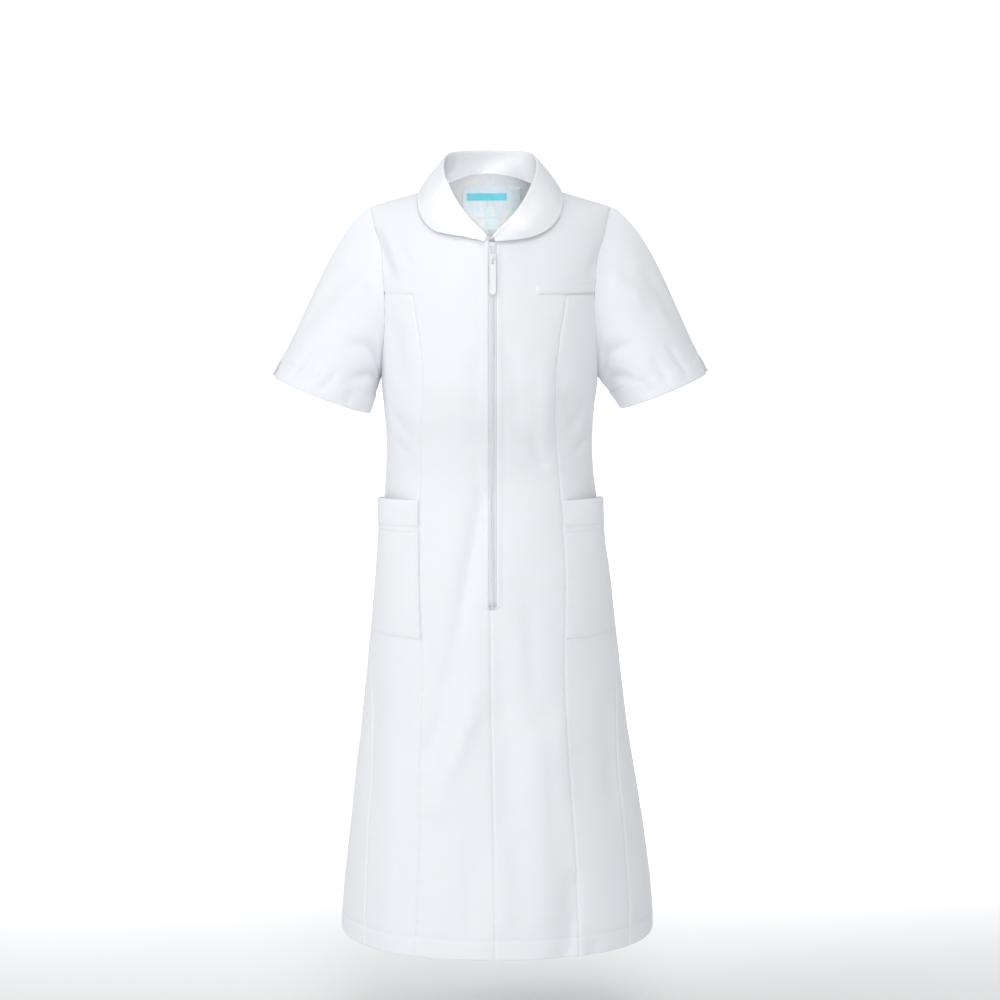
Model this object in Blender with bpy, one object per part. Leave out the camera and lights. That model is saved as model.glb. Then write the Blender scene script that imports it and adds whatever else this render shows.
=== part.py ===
"""Nurse uniform dress: a short-sleeved, zip-fronted, one-piece white dress, filled out as if worn.

Every cut piece is a thin wall that follows one shared garment surface. The surface is given by a
short table of body sections up to the underarm, and by quarter-turn profiles from there to the
shoulder seam. Metres, +Z up, the front faces -Y, +X is the wearer's left. The origin lies midway
between the two side neck points, where the shoulders carry the dress.
"""
import math

import bpy
import bmesh
from mathutils import Vector

# --- driving sizes, in metres ---------------------------------------------------------------
WALL = 0.0014             # cloth wall of the panels
SEAM = 0.0003             # gap between neighbouring pieces
UNDERARM_Z = -0.250
HEM_Z = -0.990
CHEST_SEAM_Z = -0.138     # where the princess seams start
ZIP_END_Z = -0.539
NECK_V_Z = -0.066         # lowest point of the front neck
NECK_BACK_Z = 0.017       # centre back neck
NECK_SIDE_X = 0.066       # side neck point, at height 0
SHOULDER_TIP_X = 0.158
SHOULDER_DROP = 0.026     # from the side neck point to the shoulder tip
NECK_RISE = 0.055         # height that the shaping would reach in the middle of the neck
ROUND = 2.2               # exponent of the body sections, 2 is an ellipse
FRONT_NECK_POWER = 1.2    # curve of the front neck edge, 1 is a quarter of an oval
TIP_STEADY = 0.35         # turn from the side within which the shoulder tip keeps one direction
FRONT_NOTCH = 0.078       # how far the armholes cut in, as a share of the shoulder width
BACK_NOTCH = 0.068
ZIP_EDGE_LEFT_X = 0.0085  # front edges beside the zip
ZIP_EDGE_RIGHT_X = -0.0020
CENTRE_SEAM_X = -0.0030   # centre-front seam below the zip

# Body sections below the underarm: height, sideways drift of the middle, half width, depths.
SECTIONS = [
    # height, centre, half_width, front, back
    (-0.250, -0.0010, 0.1425, 0.130, 0.104),
    (-0.290, -0.0015, 0.1390, 0.124, 0.100),
    (-0.335, -0.0015, 0.1362, 0.111, 0.095),
    (-0.375, -0.0010, 0.1375, 0.104, 0.092),
    (-0.415, 0.0000, 0.1418, 0.107, 0.098),
    (-0.460, 0.0015, 0.1475, 0.115, 0.110),
    (-0.510, 0.0028, 0.1555, 0.124, 0.123),
    (-0.560, 0.0034, 0.1612, 0.131, 0.132),
    (-0.640, 0.0040, 0.1695, 0.141, 0.142),
    (-0.720, 0.0050, 0.1788, 0.152, 0.152),
    (-0.800, 0.0070, 0.1900, 0.164, 0.162),
    (-0.870, 0.0085, 0.1995, 0.175, 0.171),
    (-0.940, 0.0092, 0.2070, 0.186, 0.179),
    (-0.990, 0.0090, 0.2093, 0.192, 0.183),
]

# Long seams of one half of the dress: height and turn from the centre front, in degrees.
PRINCESS_SEAM = [
    # height, turn
    (-0.138, 39.5),
    (-0.196, 36.5),
    (-0.255, 35.5),
    (-0.355, 39.0),
    (-0.443, 38.3),
    (-0.601, 32.2),
    (-0.782, 29.5),
    (-0.990, 28.5),
]
SIDE_SEAM = [
    # height, turn
    (-0.250, 90.0),
    (-0.410, 85.0),
    (-0.600, 75.5),
    (-0.700, 66.0),
    (-0.780, 60.0),
    (-0.990, 54.0),
]

# Large soft folds: three points of the path across the front or back, reach and depth.
# A positive depth is a trough, a negative one a ridge.
FOLDS = [
    # face, x1, z1, x2, z2, x3, z3, reach, depth
    ("front", -0.012, -0.400, -0.038, -0.560, -0.078, -0.735, 0.014, 0.0045),
    ("front", -0.020, -0.655, -0.042, -0.735, -0.072, -0.800, 0.016, -0.0035),
    ("front", 0.016, -0.590, 0.018, -0.700, 0.024, -0.800, 0.018, 0.0030),
    ("front", 0.062, -0.720, 0.064, -0.820, 0.066, -0.930, 0.020, -0.0040),
    ("front", 0.108, -0.900, 0.101, -0.955, 0.093, -0.990, 0.014, 0.0045),
    ("front", -0.118, -0.760, -0.126, -0.880, -0.130, -0.990, 0.022, -0.0040),
    ("back", -0.070, -0.640, -0.082, -0.820, -0.094, -0.990, 0.024, 0.0060),
    ("back", 0.010, -0.600, 0.014, -0.800, 0.020, -0.990, 0.026, -0.0055),
    ("back", 0.092, -0.660, 0.104, -0.830, 0.112, -0.990, 0.024, 0.0060),
]

# Collar, wearer's left half, from the V of the neck round to the centre back. The neck columns
# say where the stand is sewn on, the roll is its top edge, and the edge is the fall's free edge.
COLLAR_WALL = 0.0018
COLLAR_ROLL = 0.0036      # radius at the roll line
COLLAR_CLEAR = 0.0036     # how far the fall stands off the shoulders
COLLAR_LIFT = 0.0026      # how far its seam lies above the panels' neck edge
COLLAR_BULGE = 0.0022     # how far the fall bows out
COLLAR = [
    # face, neck, roll_x, roll_y, roll_z, edge_x, edge_z
    ("front", 0.00, 0.0040, -0.1090, -0.0610, 0.0070, -0.0710),
    ("front", 0.14, 0.0160, -0.1035, -0.0480, 0.0300, -0.0690),
    ("front", 0.30, 0.0290, -0.0950, -0.0340, 0.0520, -0.0660),
    ("front", 0.48, 0.0415, -0.0800, -0.0170, 0.0720, -0.0580),
    ("front", 0.66, 0.0510, -0.0620, 0.0010, 0.0860, -0.0440),
    ("front", 0.84, 0.0578, -0.0400, 0.0170, 0.0925, -0.0260),
    ("front", 1.00, 0.0590, -0.0120, 0.0330, 0.0910, -0.0080),
    ("back", 0.80, 0.0545, 0.0130, 0.0425, 0.0860, -0.0130),
    ("back", 0.50, 0.0430, 0.0310, 0.0460, 0.0700, -0.0170),
    ("back", 0.25, 0.0240, 0.0430, 0.0470, 0.0400, -0.0190),
    ("back", 0.00, 0.0000, 0.0475, 0.0475, 0.0000, -0.0200),
]

# Sleeves: the cuff is an oval about square to the sleeve's axis. Its ends are given for each
# side as if on the left, and fullness says how far the cap stands out at the shoulder.
SLEEVES = {
    # side: cuff's outer end, cuff's inner end, fullness
    1: (Vector((0.2885, 0.004, -0.2440)), Vector((0.1720, -0.004, -0.2915)), 0.77),
    -1: (Vector((0.2890, 0.004, -0.2490)), Vector((0.1600, -0.004, -0.2980)), 0.62),
}
CUFF_HALF_DEPTH = 0.066
CUFF_AXIS_OUTER = Vector((0.52, 0.0, -0.84))   # way the sleeve runs into its hem, outer side
CUFF_AXIS_INNER = Vector((0.34, 0.0, -0.78))   # and on its underarm side
VENT_LENGTH = 0.027
VENT_OPENING = 0.008
SLEEVE_WALL = 0.0014

# Side pockets: patches from princess seam to side seam whose mouths stand open.
POCKET_MOUTH_Z = -0.406
POCKET_MOUTH_SIDE_Z = -0.409
POCKET_BOTTOM_Z = -0.583
POCKET_GAPE = 0.0125
POCKET_INSET = 0.0012     # how far its edges lie inside the seams

# Chest pocket welt, on the wearer's left.
WELT_INNER_X = 0.0600
WELT_OUTER_X = 0.1340
WELT_TOP_Z = -0.1265
WELT_BOTTOM_Z = -0.1370
WELT_PROUD = 0.0008       # how far its underside stands off the chest

# Zip: tape behind the front edges, slider at the V, long pull tab.
TAPE_LEFT_X = 0.0145
TAPE_RIGHT_X = -0.0080
TAPE_WALL = 0.0010
BEHIND = 0.0018           # how far tape and labels lie behind the wall they are sewn to
SLIDER_TOP_Z = -0.0850
SLIDER_LENGTH = 0.0125
SLIDER_WIDTH = 0.0082
SLIDER_THICK = 0.0024
SLIDER_PROUD = 0.0018     # how far its face stands in front of the cloth
BRIDGE_WIDTH = 0.0016
BRIDGE_REACH = 0.0042     # how far the bridge stands out of the slider's face
BRIDGE_LENGTH = 0.0056
BRIDGE_HOLE = 0.0026
PULL_WIDTH = 0.0085
PULL_LENGTH = 0.0480
PULL_THICK = 0.0014
PULL_BAR = 0.0012         # bar at its top, inside the slider's bridge
PULL_WINDOW_WIDTH = 0.0032
PULL_WINDOW_LENGTH = 0.0070
PULL_SHOULDER = 0.0026    # half width of its narrow top

# Labels inside the back neck.
NECK_LABEL = ("neck_label", -0.0390, 0.0415, -0.0010, -0.0410)
SIZE_LABEL = ("size_label", -0.0060, 0.0150, -0.0415, -0.0575)
LABEL_WALL = 0.0010

CLOTH_WHITE = (0.88, 0.89, 0.90, 1.0)
LABEL_GREY = (0.70, 0.76, 0.80, 1.0)
ZIP_WHITE = (0.82, 0.84, 0.86, 1.0)

# --- numbers of rows and columns -------------------------------------------------------------
CENTRE_COLUMNS = 5
YOKE_COLUMNS = 6
SIDE_COLUMNS = 5
BACK_COLUMNS = 11
SKIRT_ROWS = 8
BODICE_ROWS = 11
ZIP_FOOT = 0.004          # height of the row of cells at the end of the zip
UNDERARM_ROWS = 4
YOKE_ROWS = 3
NECK_ROWS = 6
BACK_ROWS = 8
BACK_NECK_ROWS = 4
SLEEVE_ROWS = 9
COLLAR_REFINE = 2


# --- small helpers ---------------------------------------------------------------------------
def mix(start, end, share):
    """Straight blend of two numbers or vectors."""
    return start + (end - start) * share


def steps(start, end, count):
    """Evenly spaced values from start to end, both included."""
    return [mix(start, end, index / count) for index in range(count + 1)]


def from_table(table, column, height):
    """Smooth value of a table's column at a height. Heights fall from row to row."""
    if height >= table[0][0]:
        return table[0][column]
    if height <= table[-1][0]:
        return table[-1][column]
    index = 0
    while table[index + 1][0] > height:
        index += 1
    upper, lower = table[index], table[index + 1]
    span = lower[0] - upper[0]
    share = (height - upper[0]) / span
    slope_upper = 0.0
    if index > 0:
        above = table[index - 1]
        slope_upper = (lower[column] - above[column]) / (lower[0] - above[0]) * span
    slope_lower = lower[column] - upper[column]
    if index + 2 < len(table):
        below = table[index + 2]
        slope_lower = (below[column] - upper[column]) / (below[0] - upper[0]) * span
    square, cube = share ** 2, share ** 3
    return ((2 * cube - 3 * square + 1) * upper[column] + (cube - 2 * square + share) * slope_upper
            + (3 * square - 2 * cube) * lower[column] + (cube - square) * slope_lower)


def smooth_path(points, refine):
    """Catmull-Rom path through the points, each span cut into refine parts."""
    path = []
    last = len(points) - 1
    for index in range(last):
        before = points[max(index - 1, 0)]
        start, end = points[index], points[index + 1]
        after = points[min(index + 2, last)]
        for part in range(refine):
            share = part / refine
            square, cube = share ** 2, share ** 3
            path.append(0.5 * (2 * start + (end - before) * share
                               + (2 * before - 5 * start + 4 * end - after) * square
                               + (3 * start - before - 3 * end + after) * cube))
    path.append(points[last])
    return path


# --- the garment surface -----------------------------------------------------------------------
# side is +1 for the wearer's left. turn runs from 0 at the centre front over a quarter turn at
# the side to a half turn at the centre back. A level up to 0 is metres below the underarm, and
# from 0 to 1 it is the share of the quarter turn from the underarm up to the shoulder seam.

def shoulder_height(x):
    """Height of the shoulder line, and of its smooth rise over the middle of the neck."""
    slope = SHOULDER_DROP / (SHOULDER_TIP_X - NECK_SIDE_X)
    if x >= NECK_SIDE_X:
        return (NECK_SIDE_X - x) * slope
    share = x / NECK_SIDE_X
    square, cube = share ** 2, share ** 3
    return (2 * cube - 3 * square + 1) * NECK_RISE - (cube - square) * slope * NECK_SIDE_X


def share_across(turn):
    """Sideways share of the half width at a turn."""
    return abs(math.sin(turn)) ** (2.0 / ROUND)


def turn_across(share, back=False):
    """The turn at which a sideways share is reached, on the front or the back."""
    turn = math.asin(min(max(share, 0.0), 1.0) ** (ROUND / 2.0))
    return math.pi - turn if back else turn


def width_at(level):
    """Half width at a level."""
    if level <= 0.0:
        return from_table(SECTIONS, 2, UNDERARM_Z + level)
    return mix(SECTIONS[0][2], SHOULDER_TIP_X, math.sin(level * math.pi / 2))


def body_base(side, turn, level):
    """Point of the smooth garment surface."""
    depth_column, facing = (3, -1.0) if turn <= math.pi / 2 else (4, 1.0)
    across = share_across(turn)
    along = abs(math.cos(turn)) ** (2.0 / ROUND)
    if level <= 0.0:
        height = UNDERARM_Z + level
        middle = from_table(SECTIONS, 1, height)
        depth = from_table(SECTIONS, depth_column, height) * along
    else:
        lift = level * math.pi / 2
        top = shoulder_height(SHOULDER_TIP_X * across)
        height = mix(UNDERARM_Z, top, math.sin(lift))
        middle = SECTIONS[0][1] * math.cos(lift)
        depth = SECTIONS[0][depth_column] * along * math.cos(lift) + SEAM / 2
    return Vector((middle + side * width_at(level) * across, facing * depth, height))


def body_normal(side, turn, level):
    """Outward direction of the smooth surface, steadied where it narrows to the shoulder tip."""
    step = 0.004
    if level > 0.0:
        away = max(abs(turn - math.pi / 2), TIP_STEADY * level)
        turn = math.pi / 2 + (away if turn > math.pi / 2 else -away)
    low_turn, high_turn = max(turn - step, 0.0), min(turn + step, math.pi)
    if turn <= math.pi / 2:
        high_turn = min(high_turn, math.pi / 2)
    else:
        low_turn = max(low_turn, math.pi / 2 + 1e-6)
    low_level, high_level = level - step, min(level + step, 1.0)
    around = body_base(side, high_turn, level) - body_base(side, low_turn, level)
    upward = body_base(side, turn, high_level) - body_base(side, turn, low_level)
    normal = around.cross(upward) * side
    if level > 0.999:
        normal.y = 0.0
    return normal.normalized()


def fold_push(point, back):
    """How far the large folds push the surface out at a point."""
    push = 0.0
    for face, x1, z1, x2, z2, x3, z3, reach, depth in FOLDS:
        if (face == "back") != back:
            continue
        place = Vector((point.x, point.z))
        corners = (Vector((x1, z1)), Vector((x2, z2)), Vector((x3, z3)))
        nearest = 1.0
        for start, end in zip(corners, corners[1:]):
            run = end - start
            share = min(max((place - start).dot(run) / run.length_squared, 0.0), 1.0)
            nearest = min(nearest, (place - start - run * share).length)
        push -= depth * math.exp(-(nearest / reach) ** 2)
    return push


def body_frame(side, turn, level):
    """Folded surface point and the outward direction there."""
    base = body_base(side, turn, level)
    normal = body_normal(side, turn, level)
    return base + normal * fold_push(base, turn > math.pi / 2), normal


def level_at(turn, height):
    """Level at which the surface reaches a height, at a turn."""
    if height <= UNDERARM_Z:
        return height - UNDERARM_Z
    top = shoulder_height(SHOULDER_TIP_X * share_across(turn))
    rise = min(max((height - UNDERARM_Z) / (top - UNDERARM_Z), 0.0), 1.0)
    return math.asin(rise) / (math.pi / 2)


def turn_at(x, level, back=False):
    """Turn at which the surface is x away from the dress's middle, at a level."""
    return turn_across(abs(x) / width_at(level), back)


def place_on_body(x, height, back=False):
    """Side, turn and level of the surface point with this x and height."""
    side = 1 if x >= 0.0 else -1
    level = 0.0
    turn = 0.0
    for _ in range(8):
        middle = from_table(SECTIONS, 1, height)
        if level > 0.0:
            middle = SECTIONS[0][1] * math.cos(level * math.pi / 2)
        turn = turn_at((x - middle) * side, level, back)
        level = level_at(turn, height)
    return side, turn, level


def armhole_turn(level, back=False):
    """Turn of the armhole's edge at a level above the underarm."""
    rise = math.sin(max(level, 0.0) * math.pi / 2)
    notch = BACK_NOTCH if back else FRONT_NOTCH
    return turn_across(1.0 - notch * max(math.sin(math.pi * rise), 0.0) ** 1.3, back)


def neck_edge(share, back=False):
    """Turn and level of the neck edge, from the centre neck point (0) to the shoulder (1)."""
    quarter = share * math.pi / 2
    if back:
        x = NECK_SIDE_X * math.sin(quarter)
        height = NECK_BACK_Z * math.cos(quarter) ** 2
    else:
        x = NECK_SIDE_X * math.sin(quarter) ** FRONT_NECK_POWER
        height = NECK_V_Z * (1.0 - share)
    turn = turn_across(x / SHOULDER_TIP_X, back)
    return turn, level_at(turn, height)


def yoke_level(turn, way):
    """Level of the yoke part at a share of the way from the chest seam to the shoulder."""
    return mix(level_at(turn, CHEST_SEAM_Z), 1.0, way)


def yoke_ways():
    """Rows of the yoke part: share of the way up, and share along the neck edge if it has one."""
    ways = []
    for row in range(-YOKE_ROWS, NECK_ROWS + 1):
        turn, level = neck_edge(max(row, 0) / NECK_ROWS)
        chest = level_at(turn, CHEST_SEAM_Z)
        way = (level - chest) / (1.0 - chest)
        ways.append((way * (1.0 + min(row, 0) / YOKE_ROWS), max(row, 0) / NECK_ROWS))
    return ways


def yoke_armhole_level(way):
    """Level of the front armhole edge at a share of the way up the yoke part."""
    level = way
    for _ in range(8):
        level = yoke_level(armhole_turn(level), way)
    return level


def armhole_level_at(height):
    """Level at which the front armhole edge reaches a height."""
    level = 0.0
    for _ in range(8):
        level = level_at(armhole_turn(level), height)
    return level


def back_levels():
    """Levels of the back's rows from underarm to shoulder seam."""
    neck_level = neck_edge(0.0, back=True)[1]
    levels = steps(0.0, neck_level, BACK_ROWS)
    return levels + [neck_edge(row / BACK_NECK_ROWS, back=True)[1]
                     for row in range(1, BACK_NECK_ROWS + 1)]


def armhole_levels(back):
    """Levels of the armhole edge from the underarm to the shoulder, shared with the sleeve."""
    if back:
        return back_levels()
    low = [armhole_level_at(height) for height in steps(UNDERARM_Z, CHEST_SEAM_Z, UNDERARM_ROWS)]
    return low + [yoke_armhole_level(way) for way, _ in yoke_ways()[1:]]


# --- turning grids into cloth ------------------------------------------------------------------
def material(name, colour, roughness):
    """Plain surface of one kind of piece."""
    made = bpy.data.materials.get(name)
    if made is None:
        made = bpy.data.materials.new(name)
        made.use_nodes = True
        shader = made.node_tree.nodes["Principled BSDF"]
        shader.inputs["Base Color"].default_value = colour
        shader.inputs["Roughness"].default_value = roughness
        shader.inputs["Metallic"].default_value = 0.0
    return made


def add_object(name, mesh, finish):
    """Link a mesh as a named object with its material, smooth over soft turns."""
    made = bpy.data.objects.new(name, mesh)
    bpy.context.scene.collection.objects.link(made)
    mesh.materials.append(finish)
    mesh.shade_smooth()
    mesh.set_sharp_from_angle(angle=math.radians(40))
    return made


def wall(name, frames, cells, thickness, finish, outer=0.0):
    """Closed wall from keyed (point, normal) frames and cells that list their corner keys."""
    vertices = []
    index_of = {}
    for key in sorted({key for cell in cells for key in cell}):
        point, normal = frames[key]
        index_of[key] = len(vertices)
        vertices.append(point + normal * outer)
        vertices.append(point + normal * (outer - thickness))
    faces = []
    rims = {}
    for cell in cells:
        corners = [index_of[key] for key in cell]
        faces.append(corners)
        faces.append([corner + 1 for corner in reversed(corners)])
        for start, end in zip(corners, corners[1:] + corners[:1]):
            if (end, start) in rims:
                del rims[(end, start)]
            else:
                rims[(start, end)] = cell
    for start, end in rims:
        faces.append([end, start, start + 1, end + 1])
    mesh = bpy.data.meshes.new(name)
    mesh.from_pydata(vertices, [], faces)
    shape = bmesh.new()
    shape.from_mesh(mesh)
    if shape.calc_volume(signed=True) < 0.0:
        bmesh.ops.reverse_faces(shape, faces=shape.faces)
    shape.to_mesh(mesh)
    shape.free()
    return add_object(name, mesh, finish)


def grid_cells(row_keys):
    """Cells between rows of keys of equal length."""
    cells = []
    for lower, upper in zip(row_keys, row_keys[1:]):
        for left in range(len(lower) - 1):
            cells.append((lower[left], lower[left + 1], upper[left + 1], upper[left]))
    return cells


def side_word(side):
    """The wearer's side in a piece's name."""
    return "left" if side > 0 else "right"


# --- panels ------------------------------------------------------------------------------------
def skirt_heights():
    """Rows from hem to zip end and on to the underarm."""
    below = steps(HEM_Z, ZIP_END_Z - ZIP_FOOT, SKIRT_ROWS)
    return below + steps(ZIP_END_Z, UNDERARM_Z, BODICE_ROWS)


def front_heights():
    """Rows of the lower front, from hem to chest seam."""
    return skirt_heights() + steps(UNDERARM_Z, CHEST_SEAM_Z, UNDERARM_ROWS)[1:]


def centre_edge(side, height):
    """Distance of a front's centre edge from the middle, beside the zip or at the seam below."""
    if height < ZIP_END_Z - 1e-6:
        return CENTRE_SEAM_X * side + SEAM / 2
    return ZIP_EDGE_LEFT_X if side > 0 else -ZIP_EDGE_RIGHT_X


def seam_turn(table, height):
    """Turn of a long seam at a height, in radians."""
    return math.radians(from_table(table, 1, height))


def seam_inset(level):
    """Half a seam gap as a turn."""
    return SEAM / 2 / width_at(level)


def frame_across(side, distance, level):
    """Frame at a distance from the middle, which may lie a little across it."""
    if distance < 0.0:
        side, distance = -side, -distance
    return body_frame(side, turn_at(distance, level), level)


def front_centre(side, finish):
    """Centre front: a strip up to the chest seam, and a yoke part to armhole and shoulder."""
    frames = {}
    rows = []
    heights = front_heights()
    for row, height in enumerate(heights):
        seam = seam_turn(PRINCESS_SEAM, height)
        for column, share in enumerate(steps(0.0, 1.0, CENTRE_COLUMNS)):
            level = level_at(seam * share, height)
            far = share_across(seam - seam_inset(level)) * width_at(level)
            distance = mix(centre_edge(side, height), far, share)
            frames[(row, column)] = frame_across(side, distance, level)
        rows.append([(row, column) for column in range(CENTRE_COLUMNS + 1)])
    cells = grid_cells(rows)

    chest_row = len(heights) - 1
    seam_share = share_across(seam_turn(PRINCESS_SEAM, CHEST_SEAM_Z))
    seam_share /= share_across(armhole_turn(yoke_armhole_level(0.0)))
    shares = steps(0.0, seam_share, CENTRE_COLUMNS) + steps(seam_share, 1.0, YOKE_COLUMNS)[1:]
    yoke_rows = []
    for step, (way, neck_share) in enumerate(yoke_ways()):
        row = chest_row + step
        yoke_rows.append([(row, column) for column in range(len(shares))])
        neck = share_across(neck_edge(neck_share)[0])
        armhole = share_across(armhole_turn(yoke_armhole_level(way)))
        for column, share in enumerate(shares):
            if (row, column) in frames:
                continue
            level = way
            for _ in range(6):
                inner = max(neck, centre_edge(side, 0.0) / width_at(level))
                turn = turn_across(mix(inner, armhole, share))
                level = yoke_level(turn, way)
            frames[(row, column)] = body_frame(side, turn, level)
    cells += grid_cells(yoke_rows)
    wall("front_centre_" + side_word(side), frames, cells, WALL, finish)


def side_border(height):
    """Turn of the side seam, or of the armhole's edge above the underarm."""
    if height <= UNDERARM_Z:
        return seam_turn(SIDE_SEAM, height)
    return armhole_turn(armhole_level_at(height))


def front_side(side, finish):
    """Side front, from princess seam to side seam, up to the chest seam."""
    frames = {}
    rows = []
    for row, height in enumerate(front_heights()):
        if row == len(front_heights()) - 1:
            height -= SEAM
        keys = []
        for column in range(SIDE_COLUMNS + 1):
            inner = seam_turn(PRINCESS_SEAM, height)
            outer = side_border(height)
            share = column / SIDE_COLUMNS
            turn = mix(inner, outer, share)
            level = level_at(turn, height)
            inset = seam_inset(level)
            turn = mix(inner + inset, outer - (inset if height <= UNDERARM_Z else 0.0), share)
            frames[(row, column)] = body_frame(side, turn, level_at(turn, height))
            keys.append((row, column))
        rows.append(keys)
    wall("front_side_" + side_word(side), frames, grid_cells(rows), WALL, finish)


def back_panel(side, finish):
    """Half of the back, from the centre-back seam to side seam, neck and armhole."""
    frames = {}
    rows = []
    heights = skirt_heights()
    levels = [height - UNDERARM_Z for height in heights] + back_levels()[1:]
    neck_row = len(heights) - 1 + BACK_ROWS
    for row, level in enumerate(levels):
        keys = []
        for column in range(BACK_COLUMNS + 1):
            if level <= 0.0:
                border = seam_turn(SIDE_SEAM, UNDERARM_Z + level) + seam_inset(level)
            else:
                border = armhole_turn(level, back=True)
            neck = neck_edge(max(row - neck_row, 0) / BACK_NECK_ROWS, back=True)[0]
            inner = min(neck, turn_at(SEAM / 2, level, back=True))
            turn = mix(inner, border, column / BACK_COLUMNS)
            frames[(row, column)] = body_frame(side, turn, level)
            keys.append((row, column))
        rows.append(keys)
    wall("back_" + side_word(side), frames, grid_cells(rows), WALL, finish)


# --- sleeves -----------------------------------------------------------------------------------
def armhole_loop(side):
    """Armhole edge from the shoulder tip down the front, then up the back, with its angle."""
    halves = []
    for back in (False, True):
        levels = armhole_levels(back)
        points = [body_frame(side, armhole_turn(level, back), level)[0] for level in levels]
        lengths = [0.0]
        for start, end in zip(points, points[1:]):
            lengths.append(lengths[-1] + (end - start).length)
        halves.append([(point, length / lengths[-1]) for point, length in zip(points, lengths)])
    front, rear = halves
    loop = [(point, math.pi * (1.0 - way)) for point, way in reversed(front)]
    loop += [(point, math.pi * (1.0 + way)) for point, way in rear[1:-1]]
    return loop


def sleeve_point(side, start, angle, way):
    """Point on a sleeve: angle 0 is its top line, a quarter turn its front."""
    outer, inner, fullness = SLEEVES[side]
    end = mix(outer, inner, (1.0 - math.cos(angle)) / 2)
    end -= Vector((0.0, CUFF_HALF_DEPTH * math.sin(angle), 0.0))
    leave = Vector((0.70 + 0.25 * math.cos(angle), -0.30 * math.sin(angle),
                    -0.73 + 0.21 * math.cos(angle))).normalized()
    arrive = mix(CUFF_AXIS_OUTER, CUFF_AXIS_INNER, (1.0 - math.cos(angle)) / 2)
    begin = Vector((start.x * side, start.y, start.z)) + leave * SEAM
    chord = (end - begin).length
    square, cube = way ** 2, way ** 3
    point = ((2 * cube - 3 * square + 1) * begin
             + (cube - 2 * square + way) * leave * chord * fullness
             + (3 * square - 2 * cube) * end
             + (cube - square) * arrive * chord)
    return Vector((point.x * side, point.y, point.z))


def sleeve(side, finish):
    """Set-in short sleeve with a short vent at the top of its hem."""
    loop = armhole_loop(side)
    count = len(loop)
    top = loop[0][0]
    length = (SLEEVES[side][0] - Vector((top.x * side, top.y, top.z))).length
    vent_way = 1.0 - VENT_LENGTH / length
    ways = steps(0.0, vent_way, SLEEVE_ROWS - 2) + steps(vent_way, 1.0, 2)[1:]
    frames = {}
    rows = []
    for row, way in enumerate(ways):
        keys = []
        for column in range(count + 1):
            start, angle = loop[column % count]
            here = sleeve_point(side, start, angle, way)
            before, after = loop[(column - 1) % count], loop[(column + 1) % count]
            around = (sleeve_point(side, after[0], after[1], way)
                      - sleeve_point(side, before[0], before[1], way))
            along = (sleeve_point(side, start, angle, min(way + 0.01, 1.0))
                     - sleeve_point(side, start, angle, max(way - 0.01, 0.0)))
            normal = (around.cross(along) * side).normalized()
            opened = max(way - vent_way, 0.0) / (1.0 - vent_way)
            key = (row, column % count, 0)
            if opened > 0.0 and column in (0, count):
                shift = VENT_OPENING / 2 * opened
                here = here + Vector((0, -shift if column == 0 else shift, 0))
                key = (row, 0, 1 if column == 0 else 2)
            frames[key] = (here, normal)
            keys.append(key)
        rows.append(keys)
    wall("sleeve_" + side_word(side), frames, grid_cells(rows), SLEEVE_WALL, finish)


# --- collar ------------------------------------------------------------------------------------
def collar_profile(row):
    """Points of the collar from its neck seam over the roll to its free edge, on the left."""
    face, neck, roll_x, roll_y, roll_z, edge_x, edge_z = row
    back = face == "back"
    seam = body_frame(1, *neck_edge(neck, back))[0]
    roll = Vector((roll_x, roll_y, roll_z))
    rise = (roll - seam).normalized()
    seam = seam + rise * COLLAR_LIFT
    edge_frame = body_frame(*place_on_body(edge_x, edge_z, back))
    edge = edge_frame[0] + edge_frame[1] * (COLLAR_CLEAR + COLLAR_WALL)
    down = (seam - roll).normalized()
    away = edge - roll
    away = (away - down * away.dot(down)).normalized()
    inner_roll = roll + down * COLLAR_ROLL
    outer_roll = roll + down * COLLAR_ROLL * 0.7 + away * COLLAR_ROLL * 1.5
    fall = [mix(outer_roll, edge, share) + away * COLLAR_BULGE * math.sin(math.pi * share)
            for share in (0.25, 0.50, 0.75)]
    return [seam, mix(seam, inner_roll, 0.55), inner_roll, roll + away * COLLAR_ROLL * 0.5,
            outer_roll] + fall + [edge]


def clear_of_body(point):
    """The point, moved off the shoulders where it would come too close to them."""
    if point.z > shoulder_height(abs(point.x)) - COLLAR_WALL:
        return point
    surface, normal = body_frame(*place_on_body(point.x, point.z, point.y > 0.0))
    lack = COLLAR_CLEAR + COLLAR_WALL - (point - surface).dot(normal)
    return point + normal * max(lack, 0.0)


def collar(finish):
    """Roll collar in one sheet, from the V of the neck round the back and back to the V."""
    half = [collar_profile(row) for row in COLLAR]
    other = [[Vector((-point.x, point.y, point.z)) for point in profile] for profile in half]
    profiles = half + other[::-1][1:]
    lines = [smooth_path([profile[place] for profile in profiles], COLLAR_REFINE)
             for place in range(len(half[0]))]
    sections = [list(section) for section in zip(*lines)]
    stations, places = len(sections), len(sections[0])
    frames = {}
    for section in sections:
        for place in range(4, places):
            section[place] = clear_of_body(section[place])
    for station in range(stations):
        for place in range(places):
            around = (sections[min(station + 1, stations - 1)][place]
                      - sections[max(station - 1, 0)][place])
            along = (sections[station][min(place + 1, places - 1)]
                     - sections[station][max(place - 1, 0)])
            frames[(station, place)] = (sections[station][place], along.cross(around).normalized())
    keys = [[(station, place) for place in range(places)] for station in range(stations)]
    wall("collar", frames, grid_cells(keys), COLLAR_WALL, finish)


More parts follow.
